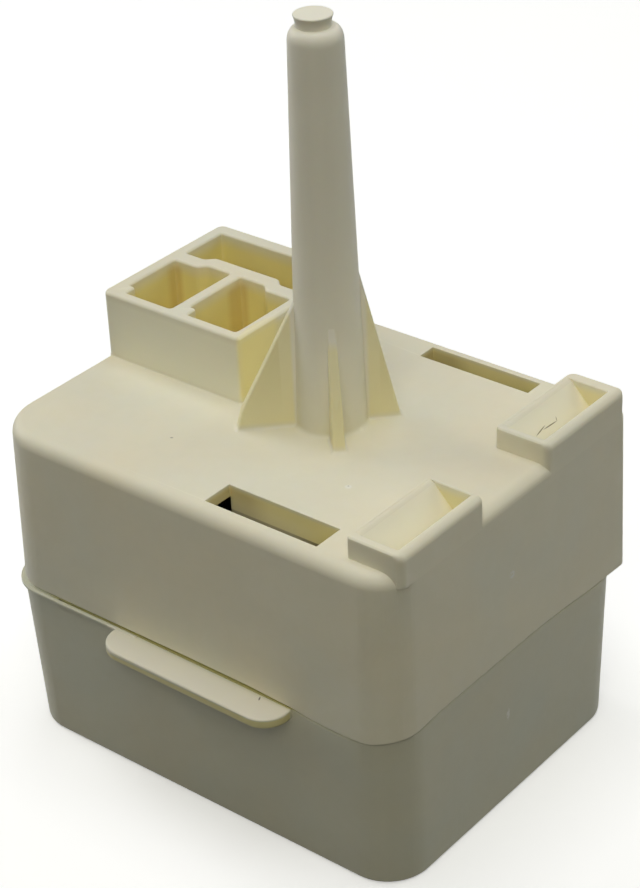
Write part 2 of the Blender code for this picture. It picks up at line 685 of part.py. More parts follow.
def make_cover(material):
    """Cover: a shell with the terminal block, two ramped pockets, two tab slots and the ribbed post."""
    shell = leaning_box(
        "cover",
        PARTING,
        ROOF_TOP,
        cover_section(PARTING),
        cover_section(ROOF_TOP),
        cover_corners(),
        top_edge=ROOF_FILLET,
    )
    cut(
        shell,
        leaning_box(
            "cover_cavity",
            PARTING - CUT_PAST,
            ROOF_UNDER,
            cover_section(PARTING - CUT_PAST, COVER_WALL),
            cover_section(ROOF_UNDER, COVER_WALL),
            cover_corners(COVER_WALL),
        ),
        leaning_box(
            "cover_rebate",
            PARTING - CUT_PAST,
            PARTING + LIP_HEIGHT,
            cover_section(PARTING - CUT_PAST, REBATE_WALL),
            cover_section(PARTING + LIP_HEIGHT, REBATE_WALL),
            cover_corners(REBATE_WALL),
        ),
    )
    block = (BLOCK_LEFT, BLOCK_RIGHT, BLOCK_FRONT, BLOCK_BACK)
    join(
        shell,
        leaning_box(
            "block",
            ROOF_TOP - SINK,
            BLOCK_TOP,
            block,
            block,
            [BLOCK_SOFT_EDGE] * 4,
            steps=SMALL_STEPS,
            top_edge=BLOCK_SOFT_EDGE / 2,
        ),
        box(
            "block_floor",
            LEFT_POCKET_X - BLOCK_MIDDLE_WALL / 2,
            BLOCK_RIGHT - BLOCK_RIGHT_WALL / 2,
            FRONT_POCKET_Y - BLOCK_FRONT_WALL / 2,
            BACK_POCKET_END + BLOCK_BACK_WALL / 2,
            POCKET_BOTTOM - POCKET_FLOOR,
            ROOF_TOP - SINK,
        ),
    )
    round_corner_of = {"front": 1, "back": 2}
    for side, front in zip(("front", "back"), RAMP_FRONTS):
        corners = [RIM_SHARP_CORNER] * 4
        corners[round_corner_of[side]] = RIM_ROUND_CORNER
        low_y = front - RIM_END_WALL
        high_y = front + RAMP_POCKET_LENGTH + RIM_END_WALL
        outline = (RAMP_LEFT - RIM_INNER_WALL, ROOF_RIGHT - FLUSH_STEP, low_y, high_y)
        join(
            shell,
            leaning_box(
                side + "_rim",
                ROOF_TOP - SINK,
                RIM_TOP,
                outline,
                outline,
                corners,
                steps=RIM_STEPS,
                top_edge=RIM_SOFT_EDGE,
            ),
            box(
                side + "_ramp_sleeve",
                RAMP_LEFT - RIM_INNER_WALL,
                RAMP_RIGHT + RIM_OUTER_WALL / 2,
                front - SLEEVE_WALL,
                front + RAMP_POCKET_LENGTH + SLEEVE_WALL,
                RAMP_SLEEVE_LOW,
                ROOF_TOP - SINK,
            ),
        )
    join(
        shell,
        box(
            "front_sleeve",
            SLOT_LEFT - SLOT_UNDERCUT - SLEEVE_WALL,
            SLOT_RIGHT + SLEEVE_WALL,
            FRONT_SLOT_Y - SLEEVE_WALL,
            FRONT_SLOT_Y + FRONT_SLOT_WIDTH + SLEEVE_WALL,
            SLEEVE_LOW,
            ROOF_TOP - SINK,
        ),
        box(
            "back_sleeve",
            SLOT_LEFT - SLEEVE_WALL,
            SLOT_RIGHT + SLEEVE_WALL,
            BACK_SLOT_END - BACK_SLOT_WIDTH - SLEEVE_WALL,
            BACK_SLOT_END + SLEEVE_WALL / 2,
            SLEEVE_LOW,
            ROOF_TOP - SINK,
        ),
        turned("post", (POST_X, POST_Y), post_profile(), POST_STEPS),
        rib("rib_left", RIB_TURN + 180, LONG_RIB_REACH, LONG_RIB_END, LONG_RIB_HEIGHT),
        rib("rib_right", RIB_TURN, RIGHT_RIB_REACH, 0.0, RIGHT_RIB_HEIGHT),
        rib("rib_front", RIB_TURN + 270, SHORT_RIB_REACH, SHORT_RIB_END, SHORT_RIB_HEIGHT),
        rib("rib_back", RIB_TURN + 90, SHORT_RIB_REACH, SHORT_RIB_END, SHORT_RIB_HEIGHT),
    )
    open_cover(shell)
    return keep(shell, material)


def open_cover(shell):
    """Cut the pockets, slots, blade slits and the post's core out of the cover."""
    left_pocket = front_pocket_outline(LEFT_POCKET_X, LEFT_POCKET_WIDTH, True)
    right_pocket = front_pocket_outline(RIGHT_POCKET_X, RIGHT_POCKET_WIDTH, False)
    above = BLOCK_TOP + CUT_PAST
    cut(
        shell,
        plate("left_pocket", left_pocket, POCKET_BOTTOM, above),
        plate("right_pocket", right_pocket, POCKET_BOTTOM, above),
        plate("back_pocket", back_pocket_outline(), POCKET_BOTTOM, above),
        box(
            "front_slot",
            SLOT_LEFT,
            SLOT_RIGHT,
            FRONT_SLOT_Y,
            FRONT_SLOT_Y + FRONT_SLOT_WIDTH,
            ROOF_TOP - SLEEVE_DEPTH,
            ROOF_TOP + CUT_PAST,
        ),
        box(
            "front_undercut",
            SLOT_LEFT - SLOT_UNDERCUT,
            SLOT_LEFT + SLOT_UNDERCUT,
            FRONT_SLOT_Y + FLUSH_STEP,
            FRONT_SLOT_Y + FRONT_SLOT_WIDTH - FLUSH_STEP,
            ROOF_TOP - SLEEVE_DEPTH + FLUSH_STEP,
            ROOF_UNDER,
        ),
        box(
            "back_slot",
            SLOT_LEFT,
            SLOT_RIGHT,
            BACK_SLOT_END - BACK_SLOT_WIDTH,
            BACK_SLOT_END,
            ROOF_TOP - SLEEVE_DEPTH,
            ROOF_TOP + CUT_PAST,
        ),
        cylinder(
            "post_core",
            (POST_X, POST_Y),
            CORE_FOOT_RADIUS,
            ROOF_UNDER - CUT_PAST,
            ROOF_UNDER + CORE_HEIGHT,
            CORE_TOP_RADIUS,
        ),
    )
    for side, front in zip(("front", "back"), RAMP_FRONTS):
        middle = (0.0, front + RAMP_POCKET_LENGTH / 2)
        cut(shell, upright_plate(side + "_ramp", ramp_outline(), RAMP_POCKET_LENGTH, middle))
    for name, (x, y, turn, tip) in TERMINALS.items():
        long_x = turn != 0
        half_x = (BLADE_WIDTH if long_x else BLADE_THICKNESS) / 2 + SEAT_GAP
        half_y = (BLADE_THICKNESS if long_x else BLADE_WIDTH) / 2 + SEAT_GAP
        in_block = tip == BLOCK_BLADE_TIP
        low = POCKET_BOTTOM - POCKET_FLOOR if in_block else SLEEVE_LOW
        high = POCKET_BOTTOM if in_block else ROOF_UNDER - CUT_PAST
        slit = box(
            name + "_slit",
            x - half_x,
            x + half_x,
            y - half_y,
            y + half_y,
            low - CUT_PAST,
            high + CUT_PAST,
        )
        cut(shell, slit)


def make_base(material):
    """Base: a tray with the register lip, the tab, pin sleeves, wells and supports for the connectors."""
    rim = base_section(BASE_HEIGHT)
    tray = leaning_box(
        "base",
        0.0,
        BASE_HEIGHT,
        base_section(0.0),
        rim,
        [BASE_CORNER] * 4,
        bottom_edge=UNDERSIDE_FILLET,
    )
    lip_inset = REBATE_WALL + SEAT_GAP
    lip_corner = max(cover_corners()) - REBATE_WALL
    tab_left = TAB_OFFSET - TAB_LENGTH / 2
    tab_right = TAB_OFFSET + TAB_LENGTH / 2
    tab_top = BASE_HEIGHT - TAB_BELOW_RIM
    tab = (tab_left, tab_right, COVER_FRONT - TAB_REACH, COVER_FRONT + BASE_WALL / 2)
    ledge = (rim[0] + FLUSH_STEP, tab_left + TAB_END_RADIUS, rim[2] - LEDGE_REACH, PIN_MIDDLE_Y)
    ledge_top = tab_top + FLUSH_STEP
    join(
        tray,
        leaning_box(
            "lip",
            BASE_HEIGHT - SINK,
            BASE_HEIGHT + LIP_HEIGHT,
            cover_section(BASE_HEIGHT, lip_inset),
            cover_section(BASE_HEIGHT + LIP_HEIGHT, lip_inset),
            [lip_corner] * 4,
        ),
        leaning_box(
            "tab",
            tab_top - TAB_THICKNESS,
            tab_top,
            tab,
            tab,
            [TAB_END_RADIUS, TAB_END_RADIUS, 0.0, 0.0],
            steps=TAB_STEPS,
        ),
        leaning_box(
            "ledge",
            ledge_top - LEDGE_HEIGHT,
            ledge_top,
            ledge,
            ledge,
            [BASE_CORNER, 0.0, 0.0, 0.0],
        ),
    )
    cut(
        tray,
        leaning_box(
            "base_cavity",
            BASE_FLOOR,
            BASE_HEIGHT + LIP_HEIGHT + CUT_PAST,
            base_section(BASE_FLOOR, BASE_WALL),
            base_section(BASE_HEIGHT + LIP_HEIGHT + CUT_PAST, BASE_WALL),
            [max(BASE_CORNER - BASE_WALL, LEAST_CORNER)] * 4,
        ),
    )
    add_supports(tray)
    open_pin_holes(tray)
    return keep(tray, material)


def add_supports(tray):
    """Join the pin sleeves, the two wells and the terminals' supports to the tray."""
    foot = BASE_FLOOR - SINK
    sleeve_radius = SOCKET_RADIUS + SEAT_GAP + SLEEVE_TUBE_WALL
    for name, place in PIN_PLACES.items():
        join(tray, cylinder(name + "_sleeve", place, sleeve_radius, foot, SUPPORT_TOP))
    join(
        tray,
        ring(
            "overload_seat",
            OVERLOAD_PLACE,
            WELL_RADIUS + SEAT_GAP + CUP_SEAT_WALL,
            WELL_RADIUS + SEAT_GAP,
            foot,
            BASE_FLOOR + CUP_SEAT_HEIGHT,
        ),
        ring(
            "pill_well",
            PILL_PLACE,
            WELL_RADIUS,
            WELL_RADIUS - PILL_WELL_WALL,
            foot,
            BASE_FLOOR + PILL_WELL_HEIGHT,
        ),
    )
    line = foot_box("terminal_line", STRIP_THICKNESS)
    run = foot_box("terminal_run", STRIP_THICKNESS)
    wall_x = base_section(0.0, BASE_WALL)[0] - SINK
    shelf_low = SUPPORT_TOP - SHELF_THICKNESS
    run_x, run_y = PIN_PLACES["run"]
    run_front = run_y - LINK_WIDTH
    run_back = run_y + LINK_WIDTH
    join(
        tray,
        box("line_shelf", wall_x, line[1], line[2], line[3], shelf_low, SUPPORT_TOP),
        box("run_shelf", run[0], run_x, run_front, run_back, shelf_low, SUPPORT_TOP),
    )
    for name in ("terminal_line_spare", "terminal_run_spare", "terminal_start"):
        left, right, front, back = foot_box(name, STRIP_THICKNESS)
        join(tray, box(name + "_pillar", left, right, front, back, foot, SUPPORT_TOP))
    left, _, front, back = foot_box("terminal_capacitor", STRIP_THICKNESS)
    clear_x = PILL_PLACE[0] - WELL_RADIUS + PILL_WELL_WALL
    join(tray, box("terminal_capacitor_pillar", left, clear_x, front, back, foot, SUPPORT_TOP))


def open_pin_holes(tray):
    """Bore the sleeves and open their floors with a funnel for each compressor pin."""
    bore = SOCKET_RADIUS + SEAT_GAP
    for name, place in PIN_PLACES.items():
        cut(
            tray,
            cylinder(name + "_bore", place, bore, BASE_FLOOR, SUPPORT_TOP + CUT_PAST),
            cylinder(name + "_hole", place, PIN_HOLE_RADIUS, -CUT_PAST, BASE_FLOOR + CUT_PAST, steps=HOLE_STEPS),
            cylinder(
                name + "_funnel",
                place,
                PIN_FUNNEL_RADIUS + (PIN_FUNNEL_RADIUS - PIN_HOLE_RADIUS),
                -PIN_FUNNEL_DEPTH,
                PIN_FUNNEL_DEPTH,
                PIN_HOLE_RADIUS,
                steps=HOLE_STEPS,
            ),
        )


def make_socket(name, place, material):
    """Split spring sleeve that grips one compressor pin, its split on the side away from the other pins."""
    x, y = place
    inner = SOCKET_RADIUS - SOCKET_WALL
    sleeve = ring("pin_socket_" + name, place, SOCKET_RADIUS, inner, SOCKET_LOW, FOOT_TOP)
    half = SOCKET_SPLIT / 2
    reach = SOCKET_RADIUS * 2
    if x < 0:
        sides = (x - reach, x, y - half, y + half)
    elif x > 0:
        sides = (x, x + reach, y - half, y + half)
    else:
        sides = (x - half, x + half, y - reach, y)
    cut(sleeve, box(name + "_split", *sides, SOCKET_LOW - CUT_PAST, SUPPORT_TOP - SEAT_GAP))
    return keep(sleeve, material)


def make_overload(steel, resin, bimetal, brass, nichrome):
    """Overload protector: cup, cap, bimetal disc on its screw, two studs and the heater wire."""
    x, y = OVERLOAD_PLACE
    low = BASE_FLOOR + SEAT_GAP
    rim = low + CUP_HEIGHT
    inside = WELL_RADIUS - CUP_WALL
    floor = low + CUP_WALL
    cup_profile = [
        (0.0, floor),
        (inside, floor),
        (inside, rim),
        (WELL_RADIUS, rim),
        (WELL_RADIUS, low + CUP_WALL / 2),
        (WELL_RADIUS - CUP_WALL / 2, low),
        (0.0, low),
    ]
    keep(turned("overload_cup", OVERLOAD_PLACE, cup_profile), steel)

    cap_low = rim + SEAT_GAP
    cap_top = cap_low + CAP_THICKNESS
    spigot_low = cap_low - CAP_SPIGOT
    cap = turned(
        "overload_cap",
        OVERLOAD_PLACE,
        [
            (0.0, cap_top),
            (WELL_RADIUS, cap_top),
            (WELL_RADIUS, cap_low),
            (inside - SEAT_GAP, cap_low),
            (inside - SEAT_GAP, spigot_low),
            (0.0, spigot_low),
        ],
    )
    disc_low = spigot_low - CAP_SPIGOT - DISC_THICKNESS - DISC_RISE
    disc_top = disc_low + DISC_THICKNESS
    hole_low = spigot_low - CUT_PAST
    hole_top = cap_top + CUT_PAST
    for name, side in (("overload_stud_in", -STUD_SPREAD), ("overload_stud_out", STUD_SPREAD)):
        place = (x + side, y + STUD_BACK)
        cut(cap, cylinder(name + "_hole", place, STUD_RADIUS + SEAT_GAP, hole_low, hole_top, steps=HOLE_STEPS))
        stud = turned(
            name,
            place,
            [
                (0.0, FOOT_TOP),
                (STUD_HEAD_RADIUS, FOOT_TOP),
                (STUD_HEAD_RADIUS, FOOT_TOP - STUD_HEAD_HEIGHT),
                (STUD_RADIUS, FOOT_TOP - STUD_HEAD_HEIGHT),
                (STUD_RADIUS, disc_top + DISC_RISE + SEAT_GAP),
                (0.0, disc_top + DISC_RISE + SEAT_GAP),
            ],
            steps=HOLE_STEPS,
        )
        keep(stud, brass)
    hub = SCREW_RADIUS + SEAT_GAP
    cut(cap, cylinder("screw_hole", OVERLOAD_PLACE, hub, hole_low, hole_top, steps=HOLE_STEPS))
    keep(cap, resin)

    disc = turned(
        "bimetal_disc",
        OVERLOAD_PLACE,
        [
            (hub, disc_top + DISC_RISE),
            (DISC_RADIUS / 2, disc_top + DISC_HALFWAY_RISE),
            (DISC_RADIUS, disc_top),
            (DISC_RADIUS, disc_low),
            (DISC_RADIUS / 2, disc_low + DISC_HALFWAY_RISE),
            (hub, disc_low + DISC_RISE),
        ],
        closed=True,
    )
    keep(disc, bimetal)

    head_low = cap_top + SEAT_GAP
    collar_top = disc_low + DISC_RISE / 2 - SEAT_GAP
    screw = turned(
        "overload_screw",
        OVERLOAD_PLACE,
        [
            (0.0, head_low + SCREW_HEAD_HEIGHT),
            (SCREW_HEAD_RADIUS, head_low + SCREW_HEAD_HEIGHT),
            (SCREW_HEAD_RADIUS, head_low),
            (SCREW_RADIUS, head_low),
            (SCREW_RADIUS, collar_top),
            (SCREW_HEAD_RADIUS, collar_top),
            (SCREW_HEAD_RADIUS, collar_top - SEAT_GAP),
            (0.0, collar_top - SEAT_GAP),
        ],
        steps=HOLE_STEPS,
    )
    half = SCREW_SLOT / 2
    across = SCREW_HEAD_RADIUS * 2
    slot_low = head_low + SCREW_HEAD_HEIGHT / 2
    slot_top = head_low + SCREW_HEAD_HEIGHT + CUT_PAST
    cut(screw, box("screw_slot", x - across, x + across, y - half, y + half, slot_low, slot_top))
    keep(screw, steel)

    make_heater(x, y, floor + SEAT_GAP + HEATER_WIRE, spigot_low - SEAT_GAP, inside, nichrome)


def make_heater(x, y, level, leg_top, inside, material):
    """Heater: one leg down from the cap, then an open loop of wire above the cup's floor."""
    leg_radius = (inside + DISC_RADIUS) / 2
    path = [(leg_radius, 0.0, leg_top), (leg_radius, 0.0, level)]
    for step in range(WIRE_STEPS + 1):
        angle = math.radians(HEATER_TURN * step / WIRE_STEPS)
        path.append((HEATER_RADIUS * math.cos(angle), HEATER_RADIUS * math.sin(angle), level))
    curve = bpy.data.curves.new("overload_heater", "CURVE")
    curve.dimensions = "3D"
    curve.bevel_depth = HEATER_WIRE
    curve.bevel_resolution = 1
    curve.use_fill_caps = True
    line = curve.splines.new("POLY")
    line.points.add(len(path) - 1)
    turn = Matrix.Rotation(math.radians(-90), 4, "Z")
    for point, place in zip(line.points, path):
        moved = turn @ Vector(place) + Vector((x, y, 0.0))
        point.co = (*moved, 1.0)
    keep(curve_to_mesh("overload_heater", curve), material)


def make_start_pill(ceramic, steel, brass):
    """Start pill between a flat lower contact with its riser and an arched upper spring."""
    x, y = PILL_PLACE
    low = BASE_FLOOR + SEAT_GAP
    contact_top = low + CONTACT_THICKNESS
    contact = cylinder("pill_contact", PILL_PLACE, CONTACT_RADIUS, low, contact_top)
    riser_far = PILL_RADIUS + SEAT_GAP + RISER_THICKNESS
    join(
        contact,
        box(
            "riser",
            x - RISER_WIDTH / 2,
            x + RISER_WIDTH / 2,
            y - riser_far,
            y - riser_far + RISER_THICKNESS,
            low + CONTACT_THICKNESS / 4,
            FOOT_TOP,
        ),
    )
    keep(contact, brass)

    pill_low = contact_top + SEAT_GAP
    pill_top = pill_low + PILL_THICKNESS
    edge = SEAT_GAP
    pill = turned(
        "start_pill",
        PILL_PLACE,
        [
            (0.0, pill_top),
            (PILL_RADIUS - edge, pill_top),
            (PILL_RADIUS, pill_top - edge),
            (PILL_RADIUS, pill_low + edge),
            (PILL_RADIUS - edge, pill_low),
            (0.0, pill_low),
        ],
    )
    keep(pill, ceramic)

    half = SPRING_THICKNESS / 2
    bottom = pill_top + SEAT_GAP + half
    top = FOOT_TOP - half
    bend = (top - bottom) / 4
    path = [
        (SPRING_REACH, bottom),
        (-SPRING_BEND + bend, bottom),
        (-SPRING_BEND, bottom + bend),
        (-SPRING_BEND, top - bend),
        (-SPRING_BEND + bend, top),
        (SPRING_THICKNESS, top),
    ]
    spring = upright_plate("pill_spring", strip_outline(path, SPRING_THICKNESS), SPRING_WIDTH, PILL_PLACE)
    keep(spring, steel)


def make_terminal(name, material):
    """Tab terminal: an upright blade with a chamfered tip and a hole, on a flat foot."""
    x, y, turn, tip = TERMINALS[name]
    half = BLADE_WIDTH / 2
    outline = [
        (-half, FOOT_LOW),
        (half, FOOT_LOW),
        (half, tip - BLADE_CHAMFER),
        (half - BLADE_CHAMFER, tip),
        (BLADE_CHAMFER - half, tip),
        (-half, tip - BLADE_CHAMFER),
    ]
    blade = upright_plate(name, outline, BLADE_THICKNESS, (x, y), turn + 90)
    left, right, front, back = foot_box(name)
    join(blade, box(name + "_foot", left, right, front, back, FOOT_LOW + FLUSH_STEP, FOOT_TOP))
    through = BLADE_THICKNESS
    hole = cylinder(name + "_hole", (0.0, 0.0), BLADE_HOLE_RADIUS, -through, through, steps=BLADE_HOLE_STEPS)
    lay = Matrix.Rotation(math.radians(90), 4, "X" if turn else "Y")
    hole.data.transform(Matrix.Translation((x, y, tip - BLADE_HOLE_FROM_TIP)) @ lay)
    cut(blade, hole)
    return keep(blade, material)


def make_links(material):
    """Flat links that lie over the feet, sockets and studs."""
    half = LINK_WIDTH / 2
    stud_y = OVERLOAD_PLACE[1] + STUD_BACK
    line_x = OVERLOAD_PLACE[0] - STUD_SPREAD
    line_foot = foot_box("terminal_line")
    line_left = max(line_x - half, line_foot[0] + BLADE_THICKNESS + SEAT_GAP)
    spare_end = BACK_BLADE_Y - BLADE_THICKNESS / 2 - SEAT_GAP
    keep(box("link_line", line_left, line_left + LINK_WIDTH, stud_y - half, spare_end, LINK_LOW, LINK_TOP), material)

    run_x, run_y = PIN_PLACES["run"]
    run_left = foot_box("terminal_run")[0] + BLADE_THICKNESS + SEAT_GAP
    pin_half = PIN_LINK_WIDTH / 2
    run_outline = [
        (run_left, run_y - pin_half),
        (run_x + SOCKET_RADIUS, run_y - pin_half),
        (run_x + SOCKET_RADIUS, run_y + pin_half),
        (run_left + LINK_WIDTH, run_y + pin_half),
        (run_left + LINK_WIDTH, spare_end),
        (run_left, spare_end),
    ]
    keep(plate("link_run", run_outline, LINK_LOW, LINK_TOP), material)

    common_x, common_y = PIN_PLACES["common"]
    out_x = OVERLOAD_PLACE[0] + STUD_SPREAD
    common_front = min(common_y, stud_y) - pin_half
    common_back = max(common_y, stud_y) + pin_half
    keep(
        box(
            "link_common",
            out_x - half,
            common_x + SOCKET_RADIUS,
            common_front,
            common_back,
            LINK_LOW,
            LINK_TOP,
        ),
        material,
    )

    start_x, start_y = PIN_PLACES["start"]
    start_end = BACK_SLOT_BLADE_Y - BLADE_THICKNESS / 2 - SEAT_GAP
    spring_y = PILL_PLACE[1]
    start_outline = [
        (start_x - half, spring_y - pin_half),
        (PILL_PLACE[0], spring_y - pin_half),
        (PILL_PLACE[0], spring_y + pin_half),
        (start_x + half, spring_y + pin_half),
        (start_x + half, start_end),
        (start_x - half, start_end),
    ]
    keep(plate("link_start", start_outline, LINK_LOW, LINK_TOP), material)

    riser_y = PILL_PLACE[1] - PILL_RADIUS - SEAT_GAP - RISER_THICKNESS
    blade_face = FRONT_SLOT_BLADE_Y + BLADE_THICKNESS / 2 + SEAT_GAP
    front = max(riser_y - SEAT_GAP, blade_face)
    left = foot_box("terminal_capacitor")[0] + BLADE_CHAMFER
    keep(
        box(
            "link_capacitor",
            left,
            PILL_PLACE[0] + RISER_WIDTH / 2,
            front,
            front + LINK_WIDTH,
            LINK_LOW,
            LINK_TOP,
        ),
        material,
    )


clear_scene()
PARTS = new_collection("compressor_start_relay")
CUTTERS = new_collection("cutters")

make_base(surface("base_plastic", (0.53, 0.52, 0.42), 0.5))
make_cover(surface("cover_plastic", (0.76, 0.74, 0.60), 0.45))
SOCKET_BRASS = surface("socket_brass", (0.78, 0.62, 0.32), 0.35, 1.0)
for pin, spot in PIN_PLACES.items():
    make_socket(pin, spot, SOCKET_BRASS)
make_overload(
    surface("cup_steel", (0.62, 0.62, 0.60), 0.35, 1.0),
    surface("cap_resin", (0.10, 0.08, 0.07), 0.5),
    surface("bimetal", (0.70, 0.60, 0.48), 0.3, 1.0),
    surface("stud_brass", (0.80, 0.66, 0.36), 0.3, 1.0),
    surface("heater_wire", (0.45, 0.43, 0.42), 0.4, 1.0),
)
make_start_pill(
    surface("pill_ceramic", (0.16, 0.15, 0.15), 0.7),
    surface("spring_steel", (0.66, 0.66, 0.66), 0.3, 1.0),
    surface("contact_brass", (0.80, 0.66, 0.36), 0.3, 1.0),
)
TAB_BRASS = surface("tab_brass", (0.80, 0.68, 0.40), 0.3, 1.0)
for terminal in TERMINALS:
    make_terminal(terminal, TAB_BRASS)
make_links(surface("link_brass", (0.76, 0.60, 0.34), 0.35, 1.0))
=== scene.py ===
"""Compressor start relay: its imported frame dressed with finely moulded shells.

Lengths are in metres; the seam's places and the plastic's zones and marks are in millimetres.
Four sides go left, right, front, back; four corners go round from the front left one.
"""

import json
import math

import bmesh
import numpy as np
import bpy
from mathutils import Matrix, Vector

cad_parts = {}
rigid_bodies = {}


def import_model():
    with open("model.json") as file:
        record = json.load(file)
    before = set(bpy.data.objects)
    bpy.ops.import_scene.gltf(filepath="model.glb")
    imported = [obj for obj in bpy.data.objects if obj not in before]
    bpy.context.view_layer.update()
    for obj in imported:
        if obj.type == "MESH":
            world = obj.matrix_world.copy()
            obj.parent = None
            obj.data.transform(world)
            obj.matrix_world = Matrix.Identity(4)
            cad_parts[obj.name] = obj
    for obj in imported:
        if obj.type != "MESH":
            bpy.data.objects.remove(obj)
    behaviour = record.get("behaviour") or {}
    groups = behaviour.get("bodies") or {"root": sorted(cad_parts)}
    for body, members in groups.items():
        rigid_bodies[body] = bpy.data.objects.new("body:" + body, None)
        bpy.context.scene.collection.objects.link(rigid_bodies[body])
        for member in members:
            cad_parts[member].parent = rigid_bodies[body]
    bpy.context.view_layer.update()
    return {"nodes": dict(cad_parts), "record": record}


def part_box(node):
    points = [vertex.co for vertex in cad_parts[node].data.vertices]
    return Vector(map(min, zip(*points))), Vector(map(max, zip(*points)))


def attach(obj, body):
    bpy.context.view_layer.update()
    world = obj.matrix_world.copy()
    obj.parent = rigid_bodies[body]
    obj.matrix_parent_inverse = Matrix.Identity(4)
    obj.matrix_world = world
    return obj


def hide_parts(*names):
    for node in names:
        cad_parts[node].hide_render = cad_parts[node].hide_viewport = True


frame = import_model()
TERMINALS = [name for name in frame["nodes"] if name.startswith("terminal")]
BACK_TERMINALS = ("terminal_line_spare", "terminal_run_spare", "terminal_start")

# Millimetres in a metre, the smallest corner radius, and no inset on any side
MM = 1000
SHARP = 0.00005
FLAT = (0,) * 4

# Camera fitted to the photograph's edges
CAMERA_PLACE = (0.135395, -0.157680, 0.160205)
CAMERA_RIGHT = (0.78048001, 0.62392212, -0.03965009)
CAMERA_DOWN = (0.29718904, -0.42606376, -0.85448718)
CAMERA_AHEAD = (-0.55002693, 0.6551266, -0.51795707)
LENS = 133.76

# Sizes of the frame's two shells, as the solids have them
SEAT_GAP = 0.0003
SINK = 0.0006
CUT_PAST = 0.001
BASE_HEIGHT = 0.0184
COVER_HEIGHT = 0.01845
BASE_WALL = 0.0024
BASE_FLOOR = 0.0018
COVER_WALL = 0.0016
COVER_ROOF = 0.0014
BASE_INSET = 0.0001
LIP_HEIGHT = 0.0020
REBATE_WALL = 0.0010
BASE_LEANS = (0.032, 0.019, 0.033, 0.024)
COVER_LEANS = (0.014, 0.014, 0.020, 0.019)
BASE_CORNER = 0.0050
COVER_CORNERS = (0.0056, 0.0042, 0.0011, 0.0030)
ROOF_FILLETS = (0.0009, 0.0013, 0.0015, 0.0009)
SKIRT = 0.0002
UNDERSIDE_FILLET = 0.0004
COVER_FOOT_EDGE = 0.0002
BASE_RIM_EDGE = 0.0002
PARTING = BASE_HEIGHT + SEAT_GAP
ROOF_TOP = PARTING + COVER_HEIGHT
ROOF_UNDER = ROOF_TOP - COVER_ROOF
ROOF = ROOF_TOP * MM

COVER_LOW, COVER_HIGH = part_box("cover")
OUTER = (COVER_LOW[0], COVER_HIGH[0], COVER_LOW[1], COVER_HIGH[1])


def section(outer, leans, rise, inset=0.0):
    """Rectangle of leaning walls: left, right, front, back."""
    left, right, front, back = outer
    return (
        left + leans[0] * rise + inset,
        right - leans[1] * rise - inset,
        front + leans[2] * rise + inset,
        back - leans[3] * rise - inset,
    )


def cover_section(height, inset=0.0):
    """Outer faces of the cover at a height."""
    return section(OUTER, COVER_LEANS, height - PARTING, inset)


def base_section(height, inset=0.0):
    """Outer faces of the base at a height."""
    return section(OUTER, BASE_LEANS, BASE_HEIGHT - height, BASE_INSET + inset)


ROOF_LEFT, ROOF_RIGHT, ROOF_FRONT, ROOF_BACK = cover_section(ROOF_TOP)

# Terminal block
BLOCK_TOP = ROOF_TOP + 0.00764
BLOCK_LEFT = ROOF_LEFT + 0.00005
LEFT_POCKET = (BLOCK_LEFT + 0.0015, 0.0072)
RIGHT_POCKET = (LEFT_POCKET[0] + LEFT_POCKET[1] + 0.00135, 0.0076)
BLOCK_RIGHT = sum(RIGHT_POCKET) + 0.00115
BLOCK_BACK = ROOF_BACK - 0.0029
BACK_POCKET_END = BLOCK_BACK - 0.0017
BACK_POCKET_Y = BACK_POCKET_END - 0.00585
FRONT_POCKET_END = BACK_POCKET_Y - 0.0019
FRONT_POCKET_Y = FRONT_POCKET_END - 0.00874
BLOCK_FRONT = FRONT_POCKET_Y - 0.0012
POCKET_KEY = 0.0009
POCKET_KEY_DEPTH = 0.0015
POCKET_STEP = 0.0009
POCKET_BOTTOM = ROOF_TOP - 0.00095
POCKET_FLOOR = 0.0020
POCKET_CORNER = 0.00035
POCKET_MOUTH = 0.0003
BLOCK_EDGE = 0.0004
BLOCK_CORNERS = (0.0009, 0.0005, 0.0005, 0.0009)
BLOCK_ROOT = (0, 0.00015, 0.00015, 0.00015)

# Tab slots
SLOT_RIGHT = ROOF_RIGHT - 0.0098
SLOT_LEFT = SLOT_RIGHT - 0.0138
FRONT_SLOT = (ROOF_FRONT + 0.00175, ROOF_FRONT + 0.00175 + 0.0036)
BACK_SLOT = (ROOF_BACK - 0.00127 - 0.0023, ROOF_BACK - 0.00127)
SLOT_FLOOR = ROOF_TOP - 0.0062
SLOT_UNDERCUT = 0.0034
SLEEVE_WALL = 0.0010
SLOT_CORNER = 0.0001
SLOT_MOUTH = 0.00008
UNDERCUT_INSET = 0.00005
BLADE = 0.0008
WIDE_TERMINAL = 0.005

# Ramped pockets
RIM_TOP = ROOF_TOP + 0.00234
RIM_INNER_WALL = 0.0003
RIM_PROUD = 0.000018
RIM_FOOT = ROOF_TOP - 0.0013
RAMP_RIGHT = ROOF_RIGHT - 0.0011
RAMP_LEFT = RAMP_RIGHT - 0.0049
RAMP_LENGTH = 0.0114
RAMP_BEND = 0.0010
RAMP_ANGLE = math.radians(47)
RAMP_SLIT = 0.0005
RAMP_FRONTS = (ROOF_FRONT + 0.00293, ROOF_BACK - 0.0021 - RAMP_LENGTH)
RIM_END_WALLS = ((0.00102, 0.0005), (0.00085, 0.00142))
RIM_CORNERS = ((0.00025, 0.0009, 0.0003, 0.0004), (0.0003, 0.0008, 0.0005, 0.0009))
RIM_EDGES = (0.0001, 0.00085, 0.0003, 0.0004)
RIM_MOUTH = 0.0002
RIM_MOUTH_START = 0.0006

